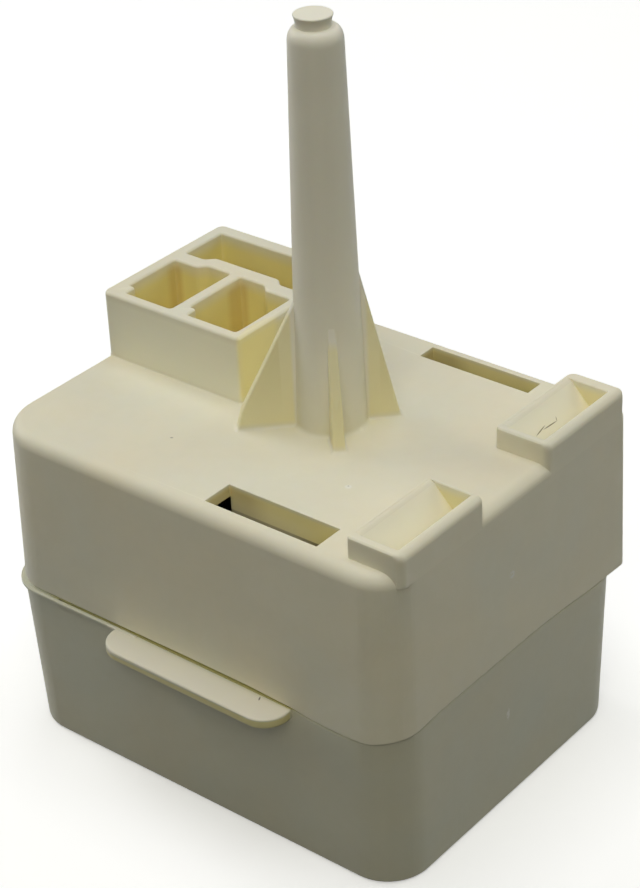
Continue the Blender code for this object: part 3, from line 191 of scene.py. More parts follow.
# Post
POST = (0.00271, 0.00242)
POST_TOP = ROOF_TOP + 0.0436
POST_FOOT_RADIUS = 0.00365
POST_TOP_RADIUS = 0.00270
POST_FILLET = 0.0005
POST_CORE = ((0.0022, ROOF_UNDER - CUT_PAST), (0.0012, ROOF_UNDER + 0.036))
BUTTON_LOW = POST_TOP - 0.0006
NECK_LOW = BUTTON_LOW - 0.00065
SHOULDER_WIDTH = 0.0009
SHOULDER_DROP = 0.0014
BUTTON_ASIDE = (-0.00012, -0.00010)
BUTTON_PROFILE = (
    (0.00172, NECK_LOW + 0.00002),
    (0.00170, NECK_LOW + 0.0002),
    (0.00174, NECK_LOW + 0.0005),
    (0.00180, BUTTON_LOW + 0.00010),
    (0.00189, BUTTON_LOW + 0.00040),
    (0.00192, BUTTON_LOW + 0.00045),
    (0.00191, BUTTON_LOW + 0.00050),
    (0.00187, BUTTON_LOW + 0.00056),
    (0.00180, POST_TOP),
)

# Ribs: name, turn in degrees, reach at the foot, height of the steep end, height on the post
RIBS = (
    ("rib_left", 225, 0.0097, 0.0021, 0.0138),
    ("rib_right", 45, 0.00707, 0.0, 0.0165),
    ("rib_front", 315, 0.0067, 0.0021, 0.0122),
    ("rib_back", 135, 0.0067, 0.0021, 0.0122),
)
RIB_LEAN = 0.26
RIB_FILLET = 0.00035
RIB_FOOT_WIDTH = 0.0013
RIB_TOP_WIDTH = 0.0009
RIB_CORNERS = (SHARP, 0.00022, 0.00022, SHARP)
RIB_PAST_TOP = 0.0016

# Base: pins, wells, supports, tab and the groove over it
PIN_MIDDLE_Y = -0.000021
PINS = (
    (0.0, PIN_MIDDLE_Y - 0.0058),
    (-0.0060, PIN_MIDDLE_Y + 0.0046),
    (0.0060, PIN_MIDDLE_Y + 0.0046),
)
OVERLOAD = (-0.01531, PIN_MIDDLE_Y - 0.0080)
PILL = (0.01531, PIN_MIDDLE_Y - 0.0080)
WELL_RADIUS = 0.0072
WELL_WALL = 0.0007
WELL_HEIGHT = 0.0092
SEAT_WALL = 0.0008
SEAT_HEIGHT = 0.0022
SOCKET_RADIUS = 0.0022
SLEEVE_RADIUS = SOCKET_RADIUS + SEAT_GAP + 0.0011
PIN_HOLE_RADIUS = 0.00195
PIN_FUNNEL_RADIUS = 0.0028
PIN_FUNNEL_DEPTH = 0.0008
SUPPORT_TOP = 0.0120
SHELF_THICKNESS = 0.0024
FOOT_INSET = 0.0008
RUN_SHELF_HALF = 0.0021
TAB_LEFT = 0.0019 - 0.0231 / 2
TAB_RIGHT = 0.0019 + 0.0231 / 2
TAB_TOP = BASE_HEIGHT - 0.00025
TAB_THICKNESS = 0.0011
TAB_CORNER = 0.0028
TAB_EDGES = (0.0002, 0.0002, 0.0002, 0)
TAB_UNDER_EDGE = 0.00025
TAB_ROOT = 0.0012
LEDGE_TOP = TAB_TOP + 0.00005
LEDGE_THICKNESS = 0.0003
LEDGE_EDGES = (0.00012, 0, 0.00012, 0)
LEDGE_PROUD = 0.0004
LEDGE_BACK = -0.0020
GROOVE_LEFT = -0.0180
GROOVE_DEPTH = 0.00030
GROOVE_PAST = 0.001

# Seam: places round the housing and how far the moulded edge strays from its plane there, in mm.
# A place further out along Y than SEAM_SIDE is on the front or the back
SEAM_HUB = (0.0, 1.7)
SEAM_SIDE = 18.5
SEAM_LINE = (
    ((-24.5, -17.0), 0.25),
    ((-18.0, -18.7), 0.25),
    ((0.0, -18.7), 0.25),
    ((8.0, -18.7), 0.15),
    ((10.85, -18.7), -0.02),
    ((13.3, -18.7), -0.12),
    ((15.6, -18.7), -0.42),
    ((18.0, -18.7), -0.60),
    ((20.2, -18.7), -0.62),
    ((22.8, -18.2), -0.38),
    ((24.8, -17.5), -0.10),
    ((25.8, -15.0), 0.10),
    ((26.0, -11.0), 0.38),
    ((26.0, 5.0), 0.40),
    ((26.0, 11.0), 0.10),
    ((26.0, 15.0), -0.25),
    ((26.0, 19.0), -0.50),
    ((25.5, 21.5), -0.52),
    ((22.0, 22.1), -0.30),
    ((10.0, 22.1), 0.0),
    ((-25.0, 21.0), 0.0),
    ((-26.0, 0.0), 0.10),
)
TAB_LIFT = 0.0003
COVER_SEAM = (PARTING - SKIRT - 0.0001, PARTING + 0.0001)
BASE_SEAM = (BASE_HEIGHT - 0.0015, BASE_HEIGHT + 0.00005)
BISECT_REACH = 0.000001

# Noise layers of the materials: scale over millimetres, detail, roughness
CLOUDS = (0.09, 3.0, 0.5)
FLOW = (0.6, 4.0, 0.6)
GRIT = (3.5, 3.0, 0.6)
SATIN = (1.4, 4.0, 0.5)
SINKS = (0.16, 1.0, 0.5)
GRAIN = (5.0, 3.0, 0.5)
TARNISH = (0.7, 5.0, 0.65)
DRAWN_LINES = (1.0, 3.0, 0.5)
DRAWN_STRETCH = (12.0, 12.0, 0.4)

# Tints of the plastic's zones and marks, painted glow, bounce light and shade among them
# Yellow of the ribs' tint, and of the painted glow in the pockets, the slots, the ramps' end walls
# and on the block's right face
GLOW_AND_TINT_YELLOW = (0.95, 0.83, 0.26)
# Painted shade, near black, deep in the slots
SLOT_DEPTH_SHADE = (0.10, 0.075, 0.04)
# Pale of the marks; on the side scuffs it is partly a painted highlight of raised burrs
PALE = (0.93, 0.92, 0.86)
HAIR = (0.16, 0.13, 0.06)
# Painted bounce light from the roof on the block's front face
BLOCK_BOUNCE_LIGHT = (0.95, 0.93, 0.74)
# Painted bounce light from the roof on the post
POST_BOUNCE_LIGHT = (0.95, 0.92, 0.80)
# Painted shade, brown, in the front pockets' left back corners
CORNER_SHADE = (0.66, 0.48, 0.18)
# Brown at the slots' left ends: grime, and painted shade where the front slot's undercut runs
SLOT_END_DIRT_AND_SHADE = (0.50, 0.38, 0.17)
PIT = (0.55, 0.52, 0.42)
SPECK = (0.30, 0.28, 0.22)
TAB_YELLOW = (0.80, 0.72, 0.28)
TAB_LIGHT = (0.86, 0.81, 0.68)
# Painted shade, dark olive, in the groove between the tab and the cover
GROOVE_SHADE_OLIVE = (0.55, 0.52, 0.20)
FLECK = (0.12, 0.10, 0.06)
PLASTIC_BODY = {
    "Subsurface Weight": 0.12,
    "Subsurface Radius": (1.0, 0.75, 0.3),
    "Subsurface Scale": 0.0008,
    "Specular IOR Level": 0.4,
}
# Paling of convex edges, partly wear and partly painted highlight
WEAR_AND_HIGHLIGHT_GAIN = 1.12
BRIGHTEST = 0.95
RIB_SHARE = 0.38

# Stage
SKY_STRENGTH = 0.155
FLOOR_HALF = 3.0
FLOOR_DROP = 0.00005
PAPER_TONE = (0.9, 0.9, 0.89, 1)
PAPER_ROUGHNESS = 0.9
PAPER_GLOW = 0.38
WHITE = (1, 1, 1, 1)
LAMP_SIZE = (0.35, 0.35)
LAMPS = {
    "top_lamp": ((0.0, 0.0, 0.6), (0.0, 0.0, 0.0), 1.26, (0.965, 0.965, 1.0)),
    "left_lamp": ((-0.54, -0.05, 0.27), (0.0, 0.0, 0.03), 1.10, (0.99, 1.0, 0.96)),
    "front_lamp": ((0.30, -0.42, 0.48), (0.0, 0.0, 0.03), 1.10, (1.0, 0.97, 0.80)),
    "back_lamp": ((-0.2, 0.55, 0.3), (0.0, 0.0, 0.03), 0.27, (0.95, 0.97, 1.0)),
    "right_lamp": ((0.35, 0.5, 0.3), (0.0, 0.0, 0.03), 0.65, (0.96, 1.0, 0.90)),
}

SPARE = bpy.data.collections.new("working_shapes")
bpy.context.scene.collection.children.link(SPARE)


def shader_tree(name):
    """New material with its node tree and its shader."""
    made = bpy.data.materials.new(name)
    made.use_nodes = True
    tree = made.node_tree
    return made, tree, tree.nodes["Principled BSDF"]


def add_node(tree, kind, inputs=None, **settings):
    """Node with its settings, and with its inputs linked or set by name or number."""
    node = tree.nodes.new(kind)
    for key, value in settings.items():
        setattr(node, key, value)
    for key, value in (inputs or {}).items():
        if isinstance(value, bpy.types.NodeSocket):
            tree.links.new(value, node.inputs[key])
        else:
            node.inputs[key].default_value = value
    return node


def noise(tree, place, scale, detail, rough):
    """Noise layer over a place."""
    inputs = {"Vector": place, "Scale": scale, "Detail": detail, "Roughness": rough}
    return add_node(tree, "ShaderNodeTexNoise", inputs).outputs["Fac"]


def own_place(tree):
    """Place on the object in its own millimetres."""
    coordinates = add_node(tree, "ShaderNodeTexCoord").outputs["Object"]
    inputs = {"Vector": coordinates, "Scale": (MM, MM, MM)}
    return add_node(tree, "ShaderNodeMapping", inputs).outputs["Vector"]


def spread(tree, value, low, high, out_low, out_high):
    """Value moved from one range to another."""
    names = ("Value", "From Min", "From Max", "To Min", "To Max")
    inputs = dict(zip(names, (value, low, high, out_low, out_high)))
    return add_node(tree, "ShaderNodeMapRange", inputs).outputs["Result"]


def mixed(tree, share, one, two):
    """Two colours mixed."""
    node = add_node(tree, "ShaderNodeMix", data_type="RGBA", blend_type="MIX")
    for key, value in (("Factor", share), ("A", one), ("B", two)):
        kind = "VALUE" if key == "Factor" else "RGBA"
        socket = next(i for i in node.inputs if i.name == key and i.enabled and i.type == kind)
        if isinstance(value, bpy.types.NodeSocket):
            tree.links.new(value, socket)
        else:
            socket.default_value = value
    return next(o for o in node.outputs if o.type == "RGBA" and o.enabled)


def maths(tree, operation, *values):
    """Result of a sum on values."""
    node = add_node(tree, "ShaderNodeMath", dict(enumerate(values)), operation=operation)
    return node.outputs["Value"]


def vector_maths(tree, operation, *values):
    """Node for a sum on vectors."""
    return add_node(tree, "ShaderNodeVectorMath", dict(enumerate(values)), operation=operation)


def product(tree, first, second):
    """Two values multiplied."""
    return maths(tree, "MULTIPLY", first, second)


def between(tree, value, low, high, soft):
    """1 between two values, falling to 0 over a soft width outside them."""
    rising = spread(tree, value, low - soft, low, 0.0, 1.0)
    return product(tree, rising, spread(tree, value, high, high + soft, 1.0, 0.0))


def within(tree, axes, bounds, softs):
    """1 inside a box of (low, high) bounds along X, Y and Z."""
    bands = [
        between(tree, axis, low, high, soft)
        for axis, (low, high), soft in zip(axes, bounds, softs)
    ]
    return product(tree, product(tree, bands[0], bands[1]), bands[2])


def spot(tree, place, centre, radii, turn=(0, 0, 0)):
    """1 in a small ellipsoid and 0 outside it."""
    inputs = {"Vector": place, "Location": centre, "Rotation": turn, "Scale": radii}
    local = add_node(tree, "ShaderNodeMapping", inputs, vector_type="TEXTURE").outputs["Vector"]
    reach = vector_maths(tree, "LENGTH", local).outputs["Value"]
    return spread(tree, reach, 1.0, 0.55, 0.0, 1.0)


def uneven_tone(tree, place, tone, hollow_glow):
    """Plastic's tone: clouds and flow marks, with a painted glow, a deeper yellow, in its hollows.
    """
    clouds = spread(tree, noise(tree, place, *CLOUDS), 0.3, 0.7, 0.0, 1.0)
    warm = tuple(c * k for c, k in zip(tone, (1.02, 0.985, 0.94))) + (1,)
    cool = tuple(c * k for c, k in zip(tone, (0.975, 0.99, 1.01))) + (1,)
    colour = mixed(tree, clouds, warm, cool)
    flow = spread(tree, noise(tree, place, *FLOW), 0.35, 0.65, 0.0, 0.10)
    colour = mixed(tree, flow, colour, (tone[0] * 0.86, tone[1] * 0.85, tone[2] * 0.78, 1))
    # Painted glow of light bounced round the hollows: ambient occlusion turns them a deeper yellow
    hollow = add_node(tree, "ShaderNodeAmbientOcclusion", {"Distance": 0.006}, samples=8)
    depth = spread(tree, hollow.outputs["AO"], 0.46, 0.12, 0.0, 0.6)
    return mixed(tree, depth, colour, (*hollow_glow, 1))


def on_ribs(tree, place, axes):
    """Share of the ribs' tint: a ring round the post above the roof, less in line with the post."""
    away = vector_maths(tree, "SUBTRACT", place, (POST[0] * MM, POST[1] * MM, 0))
    flat = vector_maths(tree, "MULTIPLY", away.outputs["Vector"], (1, 1, 0))
    reach = vector_maths(tree, "LENGTH", flat.outputs["Vector"]).outputs["Value"]
    above = spread(tree, axes[2], ROOF + 0.1, ROOF + 0.8, 0.0, 1.0)
    share = product(tree, above, between(tree, reach, 4.0, 10.0, 0.3))
    aside = maths(tree, "ABSOLUTE", maths(tree, "SUBTRACT", axes[0], POST[0] * MM))
    return product(tree, share, spread(tree, aside, 0.5, 1.5, 0.25, 1.0))


def add_relief(tree, place, shader):
    """Satin gloss, soft sink marks and a moulded grain."""
    satin = spread(tree, noise(tree, place, *SATIN), 0.3, 0.7, 0.40, 0.52)
    tree.links.new(satin, shader.inputs["Roughness"])
    sinks = {"Height": noise(tree, place, *SINKS), "Strength": 0.25, "Distance": 0.0006}
    grain = {"Height": noise(tree, place, *GRAIN), "Strength": 0.10, "Distance": 0.00004}
    grain["Normal"] = add_node(tree, "ShaderNodeBump", sinks).outputs["Normal"]
    normal = add_node(tree, "ShaderNodeBump", grain).outputs["Normal"]
    tree.links.new(normal, shader.inputs["Normal"])


def moulded_plastic(name, tone, hollow_glow, wear_and_highlight, zones, marks, ribs=False):
    """Ivory moulded plastic with tinted zones (painted glow, bounce light and shade among them),
    convex edges paled as wear and painted highlight, marks and fine relief.

    A zone is (bounds, softs, colour, share).
    A mark is (centre, radii, turn, colour, share, broken).
    """
    made, tree, shader = shader_tree(name)
    place = own_place(tree)
    colour = uneven_tone(tree, place, tone, hollow_glow)
    parts = add_node(tree, "ShaderNodeSeparateXYZ", {"Vector": place})
    axes = [parts.outputs[axis] for axis in "XYZ"]
    for bounds, softs, tint, share in zones:
        strength = product(tree, within(tree, axes, bounds, softs), share)
        colour = mixed(tree, strength, colour, (*tint, 1))
    if ribs:
        strength = product(tree, on_ribs(tree, place, axes), RIB_SHARE)
        colour = mixed(tree, strength, colour, (*GLOW_AND_TINT_YELLOW, 1))
    # Convex edges paled: wear, and a painted highlight of the light they catch
    shape = add_node(tree, "ShaderNodeNewGeometry").outputs["Pointiness"]
    worn_and_lit = tuple(min(c * WEAR_AND_HIGHLIGHT_GAIN, BRIGHTEST) for c in tone) + (1,)
    colour = mixed(tree, spread(tree, shape, 0.52, 0.62, 0.0, wear_and_highlight), colour, worn_and_lit)
    grit = noise(tree, place, *GRIT)
    for centre, radii, turn, tint, share, broken in marks:
        strength = product(tree, spot(tree, place, centre, radii, turn), share)
        if broken:
            strength = product(tree, strength, spread(tree, grit, 0.44, 0.54, 0.0, 1.0))
        colour = mixed(tree, strength, colour, (*tint, 1))
    tree.links.new(colour, shader.inputs["Base Color"])
    add_relief(tree, place, shader)
    for key, value in PLASTIC_BODY.items():
        shader.inputs[key].default_value = value
    return made


def worn_metal(name, tone, stain, low, high, metallic=1.0):
    """Stamped or turned metal: a light tarnish, fine drawn lines and varied gloss."""
    made, tree, shader = shader_tree(name)
    place = own_place(tree)
    inputs = {"Vector": place, "Scale": DRAWN_STRETCH}
    drawn = add_node(tree, "ShaderNodeMapping", inputs).outputs["Vector"]
    spots = spread(tree, noise(tree, place, *TARNISH), 0.45, 0.75, 0.0, 0.7)
    colour = mixed(tree, spots, (*tone, 1), (*stain, 1))
    tree.links.new(colour, shader.inputs["Base Color"])
    lines = noise(tree, drawn, *DRAWN_LINES)
    tree.links.new(spread(tree, lines, 0.3, 0.7, low, high), shader.inputs["Roughness"])
    inputs = {"Height": lines, "Strength": 0.2, "Distance": 0.00002}
    bump = add_node(tree, "ShaderNodeBump", inputs)
    tree.links.new(bump.outputs["Normal"], shader.inputs["Normal"])
    shader.inputs["Metallic"].default_value = metallic
    return made


def add_camera():
    """Camera with the photograph's frame."""
    data = bpy.data.cameras.new("camera")
    data.sensor_fit = "HORIZONTAL"
    data.sensor_width = 36.0
    data.lens = LENS
    data.clip_start = 0.01
    data.clip_end = 5.0
    eye = bpy.data.objects.new("camera", data)
    bpy.context.scene.collection.objects.link(eye)
    turn = Matrix((Vector(CAMERA_RIGHT), -Vector(CAMERA_DOWN), -Vector(CAMERA_AHEAD))).transposed()
    eye.matrix_world = Matrix.Translation(CAMERA_PLACE) @ turn.to_4x4()
    bpy.context.scene.camera = eye


def solid(name, points, faces):
    """Working shape from points and faces, with its faces turned outward."""
    mesh = bpy.data.meshes.new(name)
    mesh.from_pydata(points, [], faces)
    form = bmesh.new()
    form.from_mesh(mesh)
    bmesh.ops.recalc_face_normals(form, faces=form.faces)
    form.to_mesh(mesh)
    form.free()
    piece = bpy.data.objects.new(name, mesh)
    SPARE.objects.link(piece)
    return piece


def loft(name, loops):
    """Closed solid through loops of equal count, from the lowest to the highest."""
    count = len(loops[0])
    points = [point for loop in loops for point in loop]
    faces = [tuple(reversed(range(count)))]
    for level in range(len(loops) - 1):
        low = level * count
        for i in range(count):
            j = (i + 1) % count
            faces.append((low + i, low + j, low + count + j, low + count + i))
    top = (len(loops) - 1) * count
    faces.append(tuple(range(top, top + count)))
    return solid(name, points, faces)


def rectangle_loop(sides, radii, height, steps):
    """Rectangle with round corners, counter-clockwise from the front left one."""
    left, right, front, back = sides
    centres = (
        (left + radii[0], front + radii[0], 180),
        (right - radii[1], front + radii[1], 270),
        (right - radii[2], back - radii[2], 0),
        (left + radii[3], back - radii[3], 90),
    )
    loop = []
    for (x, y, start), radius in zip(centres, radii):
        for step in range(steps + 1):
            angle = math.radians(start + 90 * step / steps)
            loop.append((x + radius * math.cos(angle), y + radius * math.sin(angle), height))
    return loop


def stack(name, levels, radii, steps=8):
    """Solid through round-cornered rectangles. A level is (height, sides, inset of each side)."""
    loops = []
    for height, sides, insets in levels:
        left, right, front, back = insets
        drawn = (sides[0] + left, sides[1] - right, sides[2] + front, sides[3] - back)
        pulls = (left + front, right + front, right + back, left + back)
        corners = [max(radius - pull / 2, SHARP) for radius, pull in zip(radii, pulls)]
        loops.append(rectangle_loop(drawn, corners, height, steps))
    return loft(name, loops)


def quarter(radius, depth):
    """Inset of a rounded edge at a depth below its flat face."""
    if depth >= radius:
        return 0.0
    return radius - math.sqrt(max(radius**2 - (radius - depth) ** 2, 0.0))


def depths(radius, steps):
    """Depths of the levels of a rounded edge, from its foot to its flat face."""
    return [radius * (1 - math.sin(math.pi / 2 * step / steps)) for step in range(steps + 1)]


def soft_box(name, sides, low, high, radii, top=FLAT, foot=FLAT, bottom=0.0, steps=8):
    """Box with round upright corners.

    Each side has its own edge radius at the top and hollow fillet at the foot, or the foot has
    one edge radius all round.
    """
    edge_steps = 5
    levels = []
    flare = max(foot)
    if flare > 0:
        levels.append((low, sides, tuple(-f for f in foot)))
        for step in range(edge_steps + 1):
            share = step / edge_steps
            rise = flare * (1 - math.cos(math.pi / 2 * share))
            out = 1 - math.sin(math.pi / 2 * share)
            levels.append((low + SINK + rise, sides, tuple(-f * out for f in foot)))
    elif bottom > 0:
        for depth in reversed(depths(bottom, edge_steps)):
            levels.append((low + depth, sides, (quarter(bottom, depth),) * 4))
    else:
        levels.append((low, sides, FLAT))
    largest = max(top)
    if largest > 0:
        for depth in depths(largest, edge_steps):
            insets = tuple(quarter(radius, depth) if radius else 0.0 for radius in top)
            levels.append((high - depth, sides, insets))
    else:
        levels.append((high, sides, FLAT))
    return stack(name, levels, radii, steps)


def round_outline(points, radius, steps=4):
    """Outline with every corner rounded by a short curve."""
    made = []
    count = len(points)
    for i, point in enumerate(points):
        here = Vector(point)
        before = Vector(points[i - 1]) - here
        after = Vector(points[(i + 1) % count]) - here
        reach = min(radius, before.length * 0.45, after.length * 0.45)
        start = here + before.normalized() * reach
        end = here + after.normalized() * reach
        for step in range(steps + 1):
            t = step / steps
            made.append(tuple(start * (1 - t) ** 2 + here * 2 * t * (1 - t) + end * t**2))
    return made


def grow_outline(points, distance):
    """Counter-clockwise outline moved outward."""
    made = []
    count = len(points)
    for i, point in enumerate(points):
        here = Vector(point)
        a = (here - Vector(points[i - 1])).normalized()
        b = (Vector(points[(i + 1) % count]) - here).normalized()
        along = (a + b).normalized()
        out = Vector((along.y, -along.x))
        reach = distance / max(along.dot(a), 0.5)
        made.append(tuple(here + out * reach))
    return made


def flared_cut(name, outline, low, mouth, radius, steps=4):
    """Cutter for a pocket, opening with a rounded edge at its mouth."""
    loops = [[(x, y, low) for x, y in outline]]
    for step in range(steps + 1):
        angle = math.pi / 2 * step / steps
        height = mouth - radius + radius * math.sin(angle)
        grown = grow_outline(outline, radius * (1 - math.cos(angle)))
        loops.append([(x, y, height) for x, y in grown])
    loops.append([(x, y, mouth + CUT_PAST) for x, y in grow_outline(outline, radius)])
    return loft(name, loops)


def plain_box(name, left, right, front, back, low, high):
    """Box between six planes."""
    plan = ((left, front), (right, front), (right, back), (left, back))
    return loft(name, [[(x, y, z) for x, y in plan] for z in (low, high)])


def circle(place, radius, height, steps):
    """Points of a level circle."""
    x, y = place
    angles = [math.tau * step / steps for step in range(steps)]
    return [(x + radius * math.cos(a), y + radius * math.sin(a), height) for a in angles]


def turned(name, place, profile, steps):
    """Solid turned about an upright axis from (radius, height) points, from foot to top."""
    return loft(name, [circle(place, radius, height, steps) for radius, height in profile])


def ring(name, place, outer, inner, low, high):
    """Round wall standing between two heights."""
    steps = 96
    points = []
    for radius, height in ((inner, low), (outer, low), (outer, high), (inner, high)):
        points += circle(place, radius, height, steps)
    faces = []
    for level in range(4):
        here, after = level * steps, (level + 1) % 4 * steps
        for i in range(steps):
            j = (i + 1) % steps
            faces.append((here + i, here + j, after + j, after + i))
    return solid(name, points, faces)


def combine(piece, others, operation):
    """Join or cut one shape with others."""
    for other in others:
        step = piece.modifiers.new(other.name, "BOOLEAN")
        step.operation = operation
        step.object = other
        step.solver = "MANIFOLD"


def turn_round_hub(x, y):
    """Angle of a place round the housing, from 0 at the seam's first place."""
    first_x, first_y = SEAM_LINE[0][0]
    start = math.atan2(first_y - SEAM_HUB[1], first_x - SEAM_HUB[0])
    return (math.atan2(y - SEAM_HUB[1], x - SEAM_HUB[0]) - start) % math.tau


def seam_stray(place):
    """How far the seam strays from its plane at a place."""
    angle = turn_round_hub(place.x * MM, place.y * MM)
    angles = [turn_round_hub(*place) for place, _ in SEAM_LINE] + [math.tau]
    strays = [stray for _, stray in SEAM_LINE] + [SEAM_LINE[0][1]]
    return float(np.interp(angle, angles, strays)) / MM


def follow_seam(mesh, heights, stray):
    """Cut the faces between two heights at the seam's places and move their points by the stray."""
    low, high = heights
    form = bmesh.new()
    form.from_mesh(mesh)
    for (x, y), _ in SEAM_LINE:
        faces = [f for f in form.faces if any(low < v.co.z < high for v in f.verts)]
        around = {e for f in faces for e in f.edges} | {v for f in faces for v in f.verts}
        bmesh.ops.bisect_plane(
            form,
            geom=faces + list(around),
            dist=BISECT_REACH,
            plane_co=(x / MM, y / MM, 0),
            plane_no=(1, 0, 0) if abs(y) > SEAM_SIDE else (0, 1, 0),
        )
    for vertex in form.verts:
        if low < vertex.co.z < high:
            vertex.co.z += stray(vertex.co)
    form.to_mesh(mesh)
    form.free()


def base_stray(place):
    """Stray of a point on the base's rim, or on the tab and the ledge."""
    along = TAB_LEFT - 0.0001 < place.x < TAB_RIGHT + 0.0001
    on_tab = along and place.y < OUTER[2] + 0.0006
    if on_tab and place.z < BASE_HEIGHT - 0.0001:
        return TAB_LIFT * (TAB_RIGHT - place.x) / (TAB_RIGHT - TAB_LEFT)
    return seam_stray(place)


def finished(piece, name, node, material, heights, stray):
    """Mesh of a combined shape, with its seam drawn, as one piece that stands for a node."""
    view = bpy.context.evaluated_depsgraph_get()
    mesh = bpy.data.meshes.new_from_object(piece.evaluated_get(view))
    mesh.name = name
    follow_seam(mesh, heights, stray)
    made = bpy.data.objects.new(name, mesh)
    bpy.context.scene.collection.objects.link(made)
    mesh.materials.clear()
    mesh.materials.append(material)
    mesh.shade_smooth()
    mesh.set_sharp_from_angle(angle=math.radians(32))
    weigh = made.modifiers.new("Weighted normals", "WEIGHTED_NORMAL")
    weigh.keep_sharp = True
    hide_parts(node)
    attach(made, "root")


def front_pocket(pocket, key_left):
    """Front pocket's outline: one filled front corner and a step in its back wall."""
    left, width = pocket
    right = left + width
    middle = left + width / 2
    slant = POCKET_STEP / 2
    near = FRONT_POCKET_END + (POCKET_STEP if key_left else 0.0)
    far = FRONT_POCKET_END + (0.0 if key_left else POCKET_STEP)
    return [
        (left + POCKET_KEY, FRONT_POCKET_Y),
        (right, FRONT_POCKET_Y),
        (right, near),
        (middle + slant, near),
        (middle - slant, far),
        (left, far),
        (left, FRONT_POCKET_Y + POCKET_KEY_DEPTH),
        (left + POCKET_KEY, FRONT_POCKET_Y + POCKET_KEY_DEPTH),
    ]


def back_pocket():
    """Back pocket's outline, with a long land along its front wall."""
    left = LEFT_POCKET[0]
    right = sum(RIGHT_POCKET)
    land_left = left + LEFT_POCKET[1] / 2
    land_right = right - RIGHT_POCKET[1] / 2
    return [
        (left, BACK_POCKET_Y),
        (land_left - POCKET_STEP, BACK_POCKET_Y),
        (land_left, BACK_POCKET_Y + POCKET_STEP),
        (land_right, BACK_POCKET_Y + POCKET_STEP),
        (land_right + POCKET_STEP, BACK_POCKET_Y),
        (right, BACK_POCKET_Y),
        (right, BACK_POCKET_END),
        (left, BACK_POCKET_END),
    ]


def rib(name, turn, reach, end, height):
    """Rib of the post in level sections, with round outer edges and a hollow fillet at its foot."""
    taper = (POST_FOOT_RADIUS - POST_TOP_RADIUS) * height / (POST_TOP - ROOF_TOP)
    skin = POST_FOOT_RADIUS - taper
    rises = [RIB_FILLET * (1 - math.cos(math.pi / 2 * step / 4)) for step in range(5)]
    if end > RIB_FILLET:
        rises.append(end)
    rises += [end + (height - end) * share for share in (0.25, 0.5, 0.75, 1.0)]
    rises = sorted(set(round(rise, 7) for rise in rises))

    def outer(rise):
        if rise <= end:
            return reach - RIB_LEAN * rise
        start = reach - RIB_LEAN * end
        return start + (skin - start) * (rise - end) / (height - end)

    spin = Matrix.Rotation(math.radians(turn), 4, "Z")
    turned_by = Matrix.Translation((POST[0], POST[1], 0)) @ spin
    loops = []
    for rise in [-SINK] + rises + [height + RIB_PAST_TOP]:
        share = max(rise, 0) / height
        half = (RIB_FOOT_WIDTH + (RIB_TOP_WIDTH - RIB_FOOT_WIDTH) * share) / 2
        flare = 0.0
        if rise < RIB_FILLET:
            flare = RIB_FILLET * (1 - math.sin(math.acos(1 - max(rise, 0) / RIB_FILLET)))
        wide = half + flare
        sides = (POST_TOP_RADIUS / 2, outer(max(rise, 0.0)) + flare, -wide, wide)
        loop = rectangle_loop(sides, RIB_CORNERS, ROOF_TOP + rise, 4)
        loops.append([tuple(turned_by @ Vector(point)) for point in loop])
    return loft(name, loops)


def post():
    """Post from its root fillet to its button."""
    profile = [(POST_FOOT_RADIUS + POST_FILLET, ROOF_TOP - SINK)]
    for step in range(6):
        angle = math.pi / 2 * step / 5
        radius = POST_FOOT_RADIUS + POST_FILLET * (1 - math.sin(angle))
        profile.append((radius, ROOF_TOP + POST_FILLET * (1 - math.cos(angle))))
    for step in range(9):
        angle = math.pi / 2 * step / 8
        radius = POST_TOP_RADIUS - SHOULDER_WIDTH + SHOULDER_WIDTH * math.cos(angle)
        profile.append((radius, NECK_LOW - SHOULDER_DROP + SHOULDER_DROP * math.sin(angle)))
    column = turned("post", POST, profile + list(BUTTON_PROFILE), 96)
    for vertex in column.data.vertices:
        if vertex.co.z > NECK_LOW + 0.00001:
            vertex.co.x += BUTTON_ASIDE[0]
            vertex.co.y += BUTTON_ASIDE[1]
    return column


def ramp_cut(name, front):
    """Cutter of a ramped pocket, its side view swept along Y, and the height of the ramp's foot."""
    slope = math.tan(RAMP_ANGLE)
    bend_run = RAMP_BEND * math.sin(RAMP_ANGLE)
    bend_drop = RAMP_BEND * (1 - math.cos(RAMP_ANGLE))
    foot = RIM_TOP - bend_drop - (RAMP_RIGHT - RAMP_LEFT - RAMP_SLIT - bend_run) * slope
    side = [(RAMP_LEFT, RIM_TOP + CUT_PAST)]
    for step in range(13):
        angle = RAMP_ANGLE * step / 12
        height = RIM_TOP - RAMP_BEND * (1 - math.cos(angle)) - 0.00002
        side.append((RAMP_LEFT + RAMP_BEND * math.sin(angle), height))
    side += [
        (RAMP_RIGHT - RAMP_SLIT, foot),
        (RAMP_RIGHT - RAMP_SLIT, foot - SLEEVE_WALL),
        (RAMP_RIGHT, foot - SLEEVE_WALL),
        (RAMP_RIGHT, RIM_TOP + CUT_PAST),
    ]
    loops = [[(x, y, z) for x, z in side] for y in (front, front + RAMP_LENGTH)]
    return loft(name, [list(reversed(loop)) for loop in reversed(loops)]), foot


